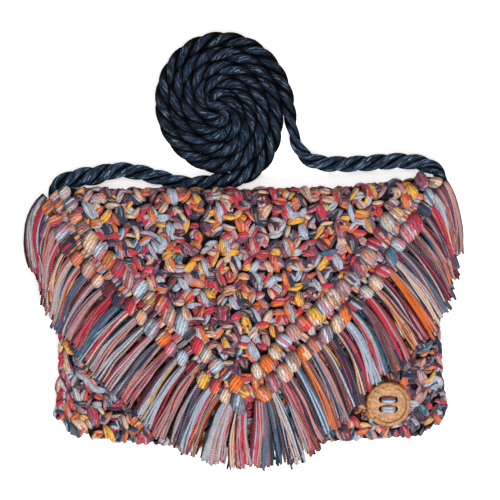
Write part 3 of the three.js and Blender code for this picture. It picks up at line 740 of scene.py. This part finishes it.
pouch = {
    # down the front, round the fold, up the back: from, to, grid lines
    "columns": 90, "down": [(-152, -6, 50), (-4, 18, 14), (21, 164, 44)],
    "knotsFrom": 1, "knotsTo": 253, "firstRow": 5.0, "frontRows": range(-12, 1), "backRows": range(1, 14),
    "seenTop": 45, "seenTip": -28, "seenSlope": 0.82, "darkFrom": 20, "backSides": 5,
    "spill": {"most": 0.03, "inset": 0.004, "from": -36, "full": -10, "fade": 5, "to": 14},
    "dyes": {"navy": 1.9, "teal": 3.2, "orange": 1.3, "greyBlue": 1.1, "peach": 1.3, "crimson": 0.9,
             "mustard": 0.8},
    "darkDyes": {"navy": 4.2, "teal": 5.5, "plum": 1.5, "maroon": 2.0, "orange": 1.2, "greyBlue": 0.7,
                 "dustyPink": 0.5, "peach": 0.5, "mustard": 0.5},
}


def pouchSpill(down):  # fuller at the lower corners
    spill = pouch["spill"]
    full = ease(down, spill["from"], spill["full"]) * (1 - ease(down, spill["fade"], spill["to"]))
    return spill["most"] * full - spill["inset"]


def makePouch():
    side = np.linspace(0, 1, pouch["columns"])
    place = np.meshgrid(side, np.concatenate([np.linspace(*part) for part in pouch["down"]]))
    ground = pouchPoint(*place) - knots["groundDepth"] * outOf(pouchPoint, *place)
    cloth = gridPiece("pouchCloth", ground, knots["groundThick"], "knotted_yarn", groundYarnShaded, "pouch")
    front, back = (knotMiddles(pouch[rows], pouch["knotsFrom"], pouch["knotsTo"], pouch["firstRow"])
                   for rows in ("frontRows", "backRows"))
    x, y = pouchPoint(front[:, 0] / bag["width"], -front[:, 1])[:, :2].T
    seen = (y < pouch["seenTop"]) & (y < pouch["seenTip"] + pouch["seenSlope"] * np.abs(x))
    frontSets = []
    atRight = x >= pouch["darkFrom"]
    for part, weights in ((~atRight, pouch["dyes"]), (atRight, pouch["darkDyes"])):
        frontSets += knotLeaves(pouchPoint, bag["width"], front[seen & part], weights, spill=pouchSpill,
                                shade=underFringe)
    backSets = knotLeaves(pouchPoint, bag["width"], back, pouch["dyes"], sides=pouch["backSides"],
                          spill=pouchSpill)
    frontPiece = cordPiece("pouchFrontKnots", frontSets, "knotted_yarn", knotYarn, "pouch")
    backPiece = cordPiece("pouchBackKnots", backSets, "knotted_yarn", knotYarn, "pouch")


makePouch()

# Hitched bars: beads, the dark heart under them, the links between the rows and the knot at the tip
beads = {
    "count": 20, "wide": 4.7, "high": 3.1, "reach": 3.2, "seat": 2.7, "arc": (-48, 228), "rings": 13,
    "sizes": (0.84, 1.16), "cornerSize": 0.8, "slant": 1.2, "slantStray": 1.1, "stray": 0.6,
    "endSize": 0.2, "taper": (0.06, 0.94), "taperPower": 0.6, "sides": 36, "ridges": 12, "ridge": 0.08,
}
heart = {"span": (0.005, 0.995), "rings": 60, "seat": 3.3, "wide": 3.4, "high": 2.8, "sides": 8,
         "dyes": {"navy": 40, "maroon": 20}}
links = {"perBead": 3, "stray": 0.003, "aside": 0.35, "span": (0.12, 0.88), "arch": (0.1, 0.9), "rings": 7,
         "seat": 1.2, "rise": 1.0, "wide": 1.7, "ends": 0.6, "high": 1.5, "sides": 10}
tip = {"middle": (-0.7, -48.4), "seat": 4.4, "headings": (35, 95, 150), "lifts": (0, 0.5, 0.9),
       "arc": (-30, 210), "rings": 11, "size": (3.0, 3.0, 2.8), "wide": 2.5, "high": 1.6,
       "dyes": {"mustard": 60, "orange": 20}}


# Values of t that stand evenly along a bar's true length.
def barSpread(side, row, count):
    t = np.linspace(0, 1, bars["fineSamples"])
    span = lengthAlong(barPoint(side, row, t))
    return np.interp((np.arange(count) + 0.5) / count * span[-1], span, t)


# Hitches: each bead is a barrel of loops side by side, an oval with a ridge for each loop, carried over the
# top of the bar from its inner side to its outer side.
def barBeads(side, row):
    count = beads["count"]
    t = barSpread(side, row, count)
    size = rng.uniform(*beads["sizes"], (count, 1))
    size[0] = beads["cornerSize"]
    middle = barPoint(side, row, t)
    step = bars["slopeStep"]
    ahead = unit(barPoint(side, row, t + step) - barPoint(side, row, t - step))
    apart = unit(barPoint(side, "outer", t) - barPoint(side, "inner", t))
    across = unit(apart - ahead * (apart * ahead).sum(-1, keepdims=True))
    angle = np.radians(np.linspace(*beads["arc"], beads["rings"]))
    slant = rng.normal(beads["slant"], beads["slantStray"], (count, 1))
    middle = middle + rng.normal(0, beads["stray"], middle.shape)
    flat = (middle[:, None] + across[:, None] * (beads["reach"] * size * np.cos(angle))[..., None]
            + ahead[:, None] * (slant * np.cos(angle))[..., None])
    seat = rideHeight(middle[:, 0], middle[:, 1])[:, None] + beads["seat"]
    paths = np.concatenate([flat, (seat + size * beads["reach"] * np.sin(angle))[..., None]], -1)
    ups = np.concatenate([across[:, None] * np.cos(angle)[:, None], np.broadcast_to(
        np.sin(angle)[:, None], (count, len(angle), 1))], -1)
    arch = np.sin(np.linspace(*beads["taper"], beads["rings"]) * np.pi) ** beads["taperPower"]
    taper = size * (beads["endSize"] + (1 - beads["endSize"]) * arch)
    return cordSet(paths, ups, beads["wide"] * taper, beads["high"] * taper, toneOf(count, bars["dyes"]),
                   sides=beads["sides"], ridges=beads["ridges"], ridge=beads["ridge"])


# Dark heart of a bar: one cord along the bar's line, under its hitches.
def barHeart(side, row):
    flat = barPoint(side, row, np.linspace(*heart["span"], heart["rings"]))
    path = np.column_stack([flat, rideHeight(flat[:, 0], flat[:, 1]) + heart["seat"]])[None]
    dye = toneOf(1, heart["dyes"])
    return cordSet(path, upwards, heart["wide"], heart["high"], dye, sides=heart["sides"])


# Short cords straight from the inner row to the outer row, with a low arch of sin(pi t).
def barLinks(side):
    count = links["perBead"] * beads["count"]
    t = (np.arange(count) + 0.5) / count + rng.normal(0, links["stray"], count)
    inner, outer = barPoint(side, "inner", t), barPoint(side, "outer", t)
    share = np.linspace(*links["span"], links["rings"])
    flat = inner[:, None] + (outer - inner)[:, None] * share[:, None]
    flat = flat + rng.normal(0, links["aside"], (count, 1, 2))
    arch = np.sin(np.pi * np.linspace(*links["arch"], links["rings"]))
    z = rideHeight(flat[..., 0], flat[..., 1]) + links["seat"] + links["rise"] * arch
    paths = np.concatenate([flat, z[..., None]], -1)
    wide = links["wide"] * (links["ends"] + (1 - links["ends"]) * arch)
    return cordSet(paths, upwards, wide, links["high"], toneOf(count, bars["dyes"]), sides=links["sides"])


# Round knot where the two sides meet: three arcs of an oval crossed over one another.
def tipKnot():
    angle = np.radians(np.linspace(*tip["arc"], tip["rings"]))
    heading = np.radians(np.array(tip["headings"]))[:, None]
    outwards = np.stack([np.cos(angle) * np.cos(heading), np.cos(angle) * np.sin(heading),
                         np.sin(angle) + 0 * heading], -1)
    seat = np.array([*tip["middle"], float(rideHeight(*tip["middle"])) + tip["seat"]])
    paths = seat + np.array(tip["lifts"])[:, None, None] * upwards + outwards * np.array(tip["size"])
    return cordSet(paths, outwards, tip["wide"], tip["high"], toneOf(len(heading), tip["dyes"]))


def makeBars():
    for side in ("left", "right"):
        sets = [barHeart(side, "inner"), barBeads(side, "inner"), barLinks(side)]
        sets += [tipKnot()] if side == "right" else []
        cordPiece(f"innerBar{side.title()}", sets, "hitched_bar", barYarn, f"inner_bar_{side}")
        cordPiece(f"outerBar{side.title()}", [barHeart(side, "outer"), barBeads(side, "outer")],
                  "hitched_bar", barYarn, f"fringe_{side}")


makeBars()

# Flap
flap = {
    "left": -117.0, "right": 113.0, "edgeGap": 4.6, "tipY": -46, "behind": -22.0, "shortest": 0.5,
    "grid": (60, 100), "knotsFrom": -121, "knotsTo": 118, "firstRow": -1.5, "rows": range(-2, 13),
    "knotGap": 1.0, "knotsMiddle": -2, "knotsHalf": 114,
    "dyes": {"mustard": 1.3, "greyBlue": 1.1, "orange": 1.1, "peach": 1.3, "navy": 1.7, "teal": 0.8},
}


# Lower edge of the flap at each x, just inside the inner bars: the higher of the two sides' lines.
def flapEdge(x):
    t = np.linspace(0, 1, bars["samples"])
    edges = []
    for side, past in (("left", "right"), ("right", "left")):
        line = barPoint(side, "inner", t)
        line = line - flap["edgeGap"] * unit(barPoint(side, "outer", t) - line)
        order = np.argsort(line[:, 0])
        edges.append(np.interp(x, line[order, 0], line[order, 1], **{past: flap["tipY"]}))
    return np.maximum(*edges)


# Middle of the flap's cloth. Down is 0 at the fold's outermost line, positive over the front, negative
# behind; within a quarter turn on either side the cloth follows a circle.
def flapPoint(x, down):
    top = topEdge(x)
    mouth = top - bag["mouthDepth"]
    outer = (rideHeight(x, mouth) + bag["cloth"]) / 2
    bend = outer - half
    quarter = 0.5 * np.pi * bend
    turn = np.clip(down / bend, -np.pi / 2, np.pi / 2)
    past = np.maximum(np.abs(down) - quarter, 0)
    y = top - outer + bend * np.cos(turn) - past
    onFront = rideHeight(x, np.minimum(y, mouth)) + half
    z = np.where(down > quarter, onFront, outer + bend * np.sin(turn))
    return np.stack([x + 0 * y, y, z], -1)


def flapLength(x):  # from the fold's outermost line down to the V edge
    top = topEdge(x)
    outer = (rideHeight(x, top - bag["mouthDepth"]) + bag["cloth"]) / 2
    return 0.5 * np.pi * (outer - half) + np.maximum(top - outer - flapEdge(x), flap["shortest"])


def makeFlap():
    rows, columns = flap["grid"]
    x = np.linspace(flap["left"], flap["right"], columns)
    share = np.linspace(0, 1, rows)[:, None]
    down = flap["behind"] + share * (flapLength(x) - flap["behind"])
    place = np.broadcast_to(x, down.shape), down
    ground = flapPoint(*place) - knots["groundDepth"] * outOf(flapPoint, *place)
    cloth = gridPiece("flapCloth", ground, knots["groundThick"], "knotted_yarn", groundYarnShaded, "flap")
    middles = knotMiddles(flap["rows"], flap["knotsFrom"], flap["knotsTo"], flap["firstRow"])
    inside = -middles[:, 1] < flapLength(middles[:, 0]) - flap["knotGap"]
    inside &= np.abs(middles[:, 0] - flap["knotsMiddle"]) < flap["knotsHalf"]
    sets = knotLeaves(flapPoint, 1.0, middles[inside], flap["dyes"])
    knotted = cordPiece("flapKnots", sets, "knotted_yarn", knotYarn, "flap")


makeFlap()

# Fringe
fringe = {
    # along the bar from its corner: a lock's mean lean outwards from straight down, how far it bends
    # and how long it is
    "left": {"along": [0, 0.1, 0.3, 0.42, 0.5, 0.65, 0.78, 0.9, 0.942, 1],
             "lean": [3, 7, 18, 30, 35, 41, 36, 24, 23, -3],
             "bend": [62, 44, 38, 30, 24, 14, 12, 24, 22, 10],
             "length": [51, 45, 42, 45, 43, 48, 49, 48, 45.5, 39.5], "sign": -1, "corner": (-1.2, 3.5),
             "dyes": {"crimson": 1.1, "navy": 1.5, "greyBlue": 1.9, "plum": 1.3, "dustyPink": 2.0,
                      "orange": 0.5, "mustard": 0.2, "peach": 1.4, "maroon": 1.8, "teal": 2.4}},
    "right": {"along": [0, 0.1, 0.25, 0.4, 0.55, 0.68, 0.8, 0.9, 0.942, 1],
              "lean": [8, 22, 33, 37, 35, 23, 26, 24, 23, -4],
              "bend": [34, 30, 24, 18, 16, 32, 20, 12, 12, 10],
              "length": [48, 42, 48, 54, 51, 50, 54, 54, 53, 46], "sign": 1, "corner": (3.8, -2.8),
              "dyes": {"crimson": 1.0, "navy": 2.4, "greyBlue": 1.3, "plum": 1.6, "dustyPink": 1.1,
                       "orange": 0.35, "mustard": 0.2, "peach": 0.7, "maroon": 4.0, "teal": 3.0}},
    "evenLocks": 26, "endLocks": [0, 0.038, 0.923, 0.957, 0.969, 0.99, 1],
    "yarns": 18, "rings": 10, "sides": 6,
    "radius": 0.76, "radii": (0.85, 1.2), "rootWidth": 3.8, "tipWidth": 8.6, "widthPower": 0.8,
    "rootHigh": 3.9, "tipHigh": 2.4, "highPower": 0.6, "lift": 0.8, "rootLift": 1.2, "rootFade": 12,
    "leanStray": (1.2, 1.4), "lengthStray": (0.03, 0.02),  # of each yarn, of each lock
    "curl": 1.6, "cornerEnd": 0.07, "inSlot": (0.1, 0.9), "depths": (0.7, 1),
    "waves": (0.2, 1.1), "wavePower": 0.7, "cycles": (0.7, 1.7),
    "stripes": 7, "stripeStray": 0.05, "firstAgain": 0.5, "ownStripe": 0.9,
    # painted shade of the locks: the share at full light, the span of the root's shade, the share left at the
    # flanks and the power it grows with
    "light": 0.5, "rootShadeSpan": 0.1, "flankShadeLeast": 0.02, "flankPower": 1.7,
}


# Yarns of a fringe: each starts at the outer bar and turns towards straight down with a power of what is
# left of its length, about its mean lean. A lock's yarns lie over a half oval that grows broad and flat to
# its end. A lock's dyes lie in stripes side by side, and its first dye comes back in some of them; its
# root and flanks get painted shade.
def fringeYarns(side):
    data = fringe[side]
    yarns, rings, stripes, curl = (fringe[label] for label in ("yarns", "rings", "stripes", "curl"))
    places = np.sort(np.concatenate([barSpread(side, "outer", fringe["evenLocks"]), fringe["endLocks"]]))
    locks, count = len(places), len(places) * yarns
    lock = np.repeat(np.arange(locks), yarns)
    t = places[lock]
    lean, bend, length = (readTable(data["along"], data[label], t) for label in ("lean", "bend", "length"))
    byYarn, byLock = fringe["leanStray"]
    lean = lean + rng.normal(0, byYarn, count) + rng.normal(0, byLock, locks)[lock]
    byYarn, byLock = fringe["lengthStray"]
    length = length * rng.normal(1, byYarn, count) * rng.normal(1, byLock, locks)[lock]
    share = np.linspace(0, 1, rings)
    heading = np.radians(lean[:, None] + bend[:, None] * ((1 - share) ** curl - 1 / (curl + 1)))
    step = length[:, None] / (rings - 1)
    move = np.stack([data["sign"] * np.sin(heading), -np.cos(heading)], -1) * step[..., None]
    trail = np.concatenate([np.zeros((count, 1, 2)), move[:, :-1].cumsum(1)], 1)
    atCorner = 1 - ease(t, 0, fringe["cornerEnd"])
    start = barPoint(side, "outer", t) + np.array(data["corner"]) * atCorner[:, None]
    aside = unit(np.stack([-move[..., 1], move[..., 0]], -1))
    turn = np.pi * (np.tile(np.arange(yarns), locks) + rng.uniform(*fringe["inSlot"], count)) / yarns
    deep = rng.uniform(*fringe["depths"], count)
    spot, layer = deep * np.cos(turn), deep * np.sin(turn)
    width = fringe["rootWidth"] + (fringe["tipWidth"] - fringe["rootWidth"]) * share ** fringe["widthPower"]
    high = fringe["rootHigh"] + (fringe["tipHigh"] - fringe["rootHigh"]) * share ** fringe["highPower"]
    wave = rng.uniform(*fringe["waves"], (count, 1)) * share ** fringe["wavePower"] * np.sin(
        2 * np.pi * (share * rng.uniform(*fringe["cycles"], (count, 1)) + rng.random((count, 1))))
    flat = start[:, None] + trail + aside * (0.5 * spot[:, None] * width + wave)[..., None]
    z = rideHeight(flat[..., 0], flat[..., 1]) + fringe["lift"] + layer[:, None] * high
    z = z + fringe["rootLift"] * np.exp(-share * fringe["rootFade"])
    paths = np.concatenate([flat, z[..., None]], -1)
    dyed = toneOf(locks * stripes, data["dyes"]).reshape(locks, stripes)
    stripe = (1 - turn / np.pi + rng.normal(0, fringe["stripeStray"], count)) * stripes
    stripe = np.clip(stripe, 0, stripes - 0.01).astype(int)
    again = rng.random((locks, stripes)) < fringe["firstAgain"]
    stripe = np.where(again, 0, np.arange(stripes))[lock, stripe]
    tone = np.where(rng.random(count) < fringe["ownStripe"], dyed[lock, stripe], toneOf(count, data["dyes"]))
    thin = np.broadcast_to(fringe["radius"] * rng.uniform(*fringe["radii"], (count, 1)), (count, rings))
    cords = cordSet(paths, upwards, thin, thin, tone, sides=fringe["sides"], ridge=0)
    # painted shade: dark at each lock's root under the bar and on its flanks
    root = np.minimum(share / fringe["rootShadeSpan"] + fringe["rootShadeSpan"], 1)
    flankShade = fringe["flankShadeLeast"] + (1 - fringe["flankShadeLeast"]) * layer[:, None] ** fringe["flankPower"]
    cords["share"] = fringe["light"] * root * flankShade
    return cords


for side in ("left", "right"):
    cordPiece(f"fringe{side.title()}", [fringeYarns(side)], "fringe_yarn", fringeYarn, f"fringe_{side}")

# Button and its stitches
button = {
    "x": 95.5, "y": -56.6, "reach": 15.0, "clear": 0.3, "settle": 0.8, "around": 96,
    "profile": [(0, 0), (8, 0), (13.4, 0), (14.4, 0.4), (14.9, 1.3), (15, 2.4), (14.9, 3.8), (14.4, 4.9),
                (13.6, 5.5), (12.9, 5.55), (12.3, 5.2), (11.9, 4.7), (11.3, 4.5), (7, 4.48), (3, 4.46),
                (0, 4.45)],
    "holeX": 4.4, "holeY": 3.2, "drill": [(0, -2), (2.1, -2), (2.1, 8), (0, 8)], "drillAround": 24,
    "stitch": {"half": 4.1, "square": 0.8, "apart": 1.05, "gather": 0.25, "low": 1.5, "rise": 4.3,
               "wide": 1.2, "high": 1.15, "rings": 13, "sides": 10},
    "stitchDyes": {"greyBlue": 2, "plum": 5, "navy": 1.5, "crimson": 0, "orange": 0, "mustard": 0,
                   "dustyPink": 0, "peach": 0, "teal": 0, "maroon": 0},
    "grain": {"stretch": (260, 420, 300), "detail": 4.0, "bump": 0.25, "bumpHeight": 0.0004, "rough": 0.55,
              "tones": {0.32: (124, 80, 42), 0.68: (178, 126, 74)}},
    "specks": {"scale": 800, "range": {"From Min": 0.36, "From Max": 0.5, "To Min": 0.5, "To Max": 1.05}},
}


# The button is sloped as the cloth under it, and lies as high as the highest of three places across it asks.
def seatButton():
    places = button["reach"] * np.array([-1, 0, 1])
    heights = rideHeight(button["x"], button["y"] + places)
    slope = math.atan2(heights[2] - heights[0], 2 * button["reach"])
    return slope, float(np.max(heights - places * math.tan(slope))) + button["clear"] - button["settle"]


buttonSlope, buttonSeat = seatButton()


# A point given on the button's own axes, tilted with the cloth under it and put in its place.
def onButton(points):
    level, tilt = math.cos(buttonSlope), math.sin(buttonSlope)
    x, y, z = np.moveaxis(points, -1, 0)
    return np.stack([button["x"] + x, button["y"] + level * y - tilt * z,
                     buttonSeat + tilt * y + level * z], -1)


# Wood: a noise drawn out along the grain between two tones, darkened by small specks.
def woodFinish():
    wood, specks = button["grain"], button["specks"]
    material, tree, shader = newMaterial("buttonWood", {"Roughness": wood["rough"]})
    middle = [v / 1000 for v in (button["x"], button["y"], buttonSeat)]
    place = addNode(tree, "TexCoord").outputs["Object"]
    moved = addNode(tree, "VectorMath", {0: place, 1: middle}, operation="SUBTRACT").outputs[0]
    drawnOut = addNode(tree, "VectorMath", {0: moved, 1: wood["stretch"]}, operation="MULTIPLY").outputs[0]
    grain = addNode(tree, "TexNoise", {"Scale": 1.0, "Detail": wood["detail"], "Vector": drawnOut}).outputs[0]
    tones = addRamp(tree, grain, [(spot, linear(*color)) for spot, color in wood["tones"].items()], "LINEAR")
    dots = addNode(tree, "TexNoise", {"Scale": specks["scale"], "Vector": moved}).outputs[0]
    dark = addNode(tree, "MapRange", {**specks["range"], "Value": dots}).outputs[0]
    shaded = addNode(tree, "VectorMath", {0: tones, "Scale": dark}, operation="SCALE")
    raised = addNode(tree, "Bump", {
        "Strength": wood["bump"], "Distance": wood["bumpHeight"], "Height": grain})
    feedNode(tree, shader, {"Base Color": shaded.outputs[0], "Normal": raised.outputs[0]})
    return material


# Closed turned shape: each profile row (radius, height) carried round the axis, with one point at each pole.
def turnedMesh(name, profile, around, shift=(0.0, 0.0)):
    radius, height = np.array(profile, float).T
    angle = np.arange(around) * 2 * np.pi / around
    x = radius[1:-1, None] * np.cos(angle) + shift[0]
    y = radius[1:-1, None] * np.sin(angle) + shift[1]
    rings = np.stack([x, y, np.broadcast_to(height[1:-1, None], x.shape)], -1).reshape(-1, 3)
    points = np.concatenate([rings, [(*shift, height[0]), (*shift, height[-1])]])
    r, k = np.meshgrid(np.arange(len(radius) - 3), np.arange(around), indexing="ij")
    nextK = (k + 1) % around
    quads = np.stack([r * around + k, r * around + nextK, (r + 1) * around + nextK, (r + 1) * around + k], -1)
    k = np.arange(around)
    low, high = len(rings), len(rings) + 1
    last = (len(radius) - 3) * around
    fans = [np.stack([np.full(around, low), (k + 1) % around, k], -1),
            np.stack([np.full(around, high), last + k, last + (k + 1) % around], -1)]
    mesh = bpy.data.meshes.new(name)
    mesh.from_pydata(points.tolist(), [], quads.reshape(-1, 4).tolist() + np.concatenate(fans).tolist())
    mesh.update()
    return mesh


# The turned blank, with four holes drilled through it, is then tilted into its place.
def makeButton():
    blank = addObject("buttonBlank", turnedMesh("buttonBlank", button["profile"], button["around"]))
    drills = []
    for x in (-button["holeX"], button["holeX"]):
        for y in (-button["holeY"], button["holeY"]):
            shape = turnedMesh("drill", button["drill"], button["drillAround"], (x, y))
            drills.append(addObject("drill", shape))
            cut = blank.modifiers.new("hole", "BOOLEAN")
            cut.operation = "DIFFERENCE"
            cut.solver = "EXACT"
            cut.object = drills[-1]
    bpy.context.view_layer.update()
    mesh = bpy.data.meshes.new_from_object(blank.evaluated_get(bpy.context.evaluated_depsgraph_get()))
    for spare in (*drills, blank):
        shape = spare.data
        bpy.data.objects.remove(spare)
        bpy.data.meshes.remove(shape)
    points = np.empty(len(mesh.vertices) * 3)
    mesh.vertices.foreach_get("co", points)
    mesh.vertices.foreach_set("co", (onButton(points.reshape(-1, 3)) / 1000).ravel())
    mesh.materials.clear()
    mesh.update()
    linkPiece("woodButton", mesh, "button_wood", woodFinish(), "button")


# Each stitch is two cords from hole to hole that rise steeply, run level and lie closer at the holes.
def makeStitch(name, y):
    stitch = button["stitch"]
    across = np.linspace(-1, 1, stitch["rings"])
    x = stitch["half"] * np.sign(across) * np.abs(across) ** stitch["square"]
    rise = stitch["low"] + stitch["rise"] * (1 - across**4)
    lines = [np.stack([x, y + side * (1 - stitch["gather"] * across**2), rise], -1)
             for side in (-stitch["apart"], stitch["apart"])]
    cords = cordSet(onButton(np.array(lines)), upwards, stitch["wide"], stitch["high"],
                    toneOf(2, button["stitchDyes"]), sides=stitch["sides"])
    cordPiece(f"stitch{name.title()}", [cords], "stitch_yarn", laceYarn, f"button_stitch_{name}")


makeButton()
makeStitch("upper", button["holeY"])
makeStitch("lower", -button["holeY"])

# Side lacing
lacing = {
    "top": 66.0, "bottom": -71.0, "middle": 5.4, "sides": 10,
    "corner": (-40.0, -60.0, 1.6), "tuck": (-59.0, -71.0, 5.0),  # from, to, how far the edge moves
    "twist": 22.0, "rings": 90, "out": 1.4, "twistOut": 1.3, "twistUp": 2.2, "radius": 1.9,
    "pitch": 8.0, "endGap": 4, "turnArc": (-105, 105), "turnRings": 11, "turnSlant": 3.4, "turnStray": 0.6,
    "turnInset": 2.2, "turnReach": 5.6, "turnRise": 4.1, "turnWide": 1.5, "turnHigh": 1.1,
    "left": {"crimson": 5, "dustyPink": 4, "peach": 2, "orange": 1.5, "navy": 0.2, "greyBlue": 0.5,
             "teal": 0},
    "right": {"navy": 9, "teal": 4, "plum": 1.5, "maroon": 1, "crimson": 0.3, "orange": 0.5, "mustard": 0.2,
              "peach": 0.1},
}


# Lacing: two cords twist about one another along the edge, and turns whip round it in arcs of an oval, from
# the front to the back. The edge stands out at the lower corner, and the cord tucks in at its end.
def makeLacing(side):
    sign = -1 if side == "left" else 1

    def edgeAt(y):
        outwards = 0
        for (high, low, most), way in ((lacing["corner"], 1), (lacing["tuck"], -1)):
            outwards = outwards + way * most * ease(-y, -high, -low)
        return (bag["left"] if side == "left" else rightEdge(y)) + sign * outwards

    y = np.linspace(lacing["top"], lacing["bottom"], lacing["rings"])
    turn = 2 * np.pi * y / lacing["twist"] + np.array([[0], [np.pi]])
    edge = np.stack([edgeAt(y) + sign * (lacing["out"] + lacing["twistOut"] * np.cos(turn)), y + 0 * turn,
                     lacing["middle"] + lacing["twistUp"] * np.sin(turn)], -1)
    radius = lacing["radius"]
    along = cordSet(edge, upwards, radius, radius, toneOf(2, lacing[side]), sides=lacing["sides"])
    start = np.arange(lacing["top"] - lacing["endGap"], lacing["bottom"] + lacing["endGap"], -lacing["pitch"])
    angle = np.radians(np.linspace(*lacing["turnArc"], lacing["turnRings"]))
    y = start[:, None] + lacing["turnSlant"] * angle / angle[-1]
    y = y + rng.normal(0, lacing["turnStray"], (len(start), 1))
    x = edgeAt(y) + sign * (lacing["turnReach"] * np.cos(angle) - lacing["turnInset"])
    z = np.broadcast_to(lacing["middle"] + lacing["turnRise"] * np.sin(angle), y.shape)
    ups = np.stack([sign * np.cos(angle), 0 * angle, np.sin(angle)], -1)
    turns = cordSet(np.stack([x, y, z], -1), ups, lacing["turnWide"], lacing["turnHigh"],
                    toneOf(len(start), lacing[side]), sides=lacing["sides"])
    cordPiece(f"lacing{side.title()}", [along, turns], f"lacing_{side}_yarn", laceYarn, f"side_lacing_{side}")


makeLacing("left")
makeLacing("right")
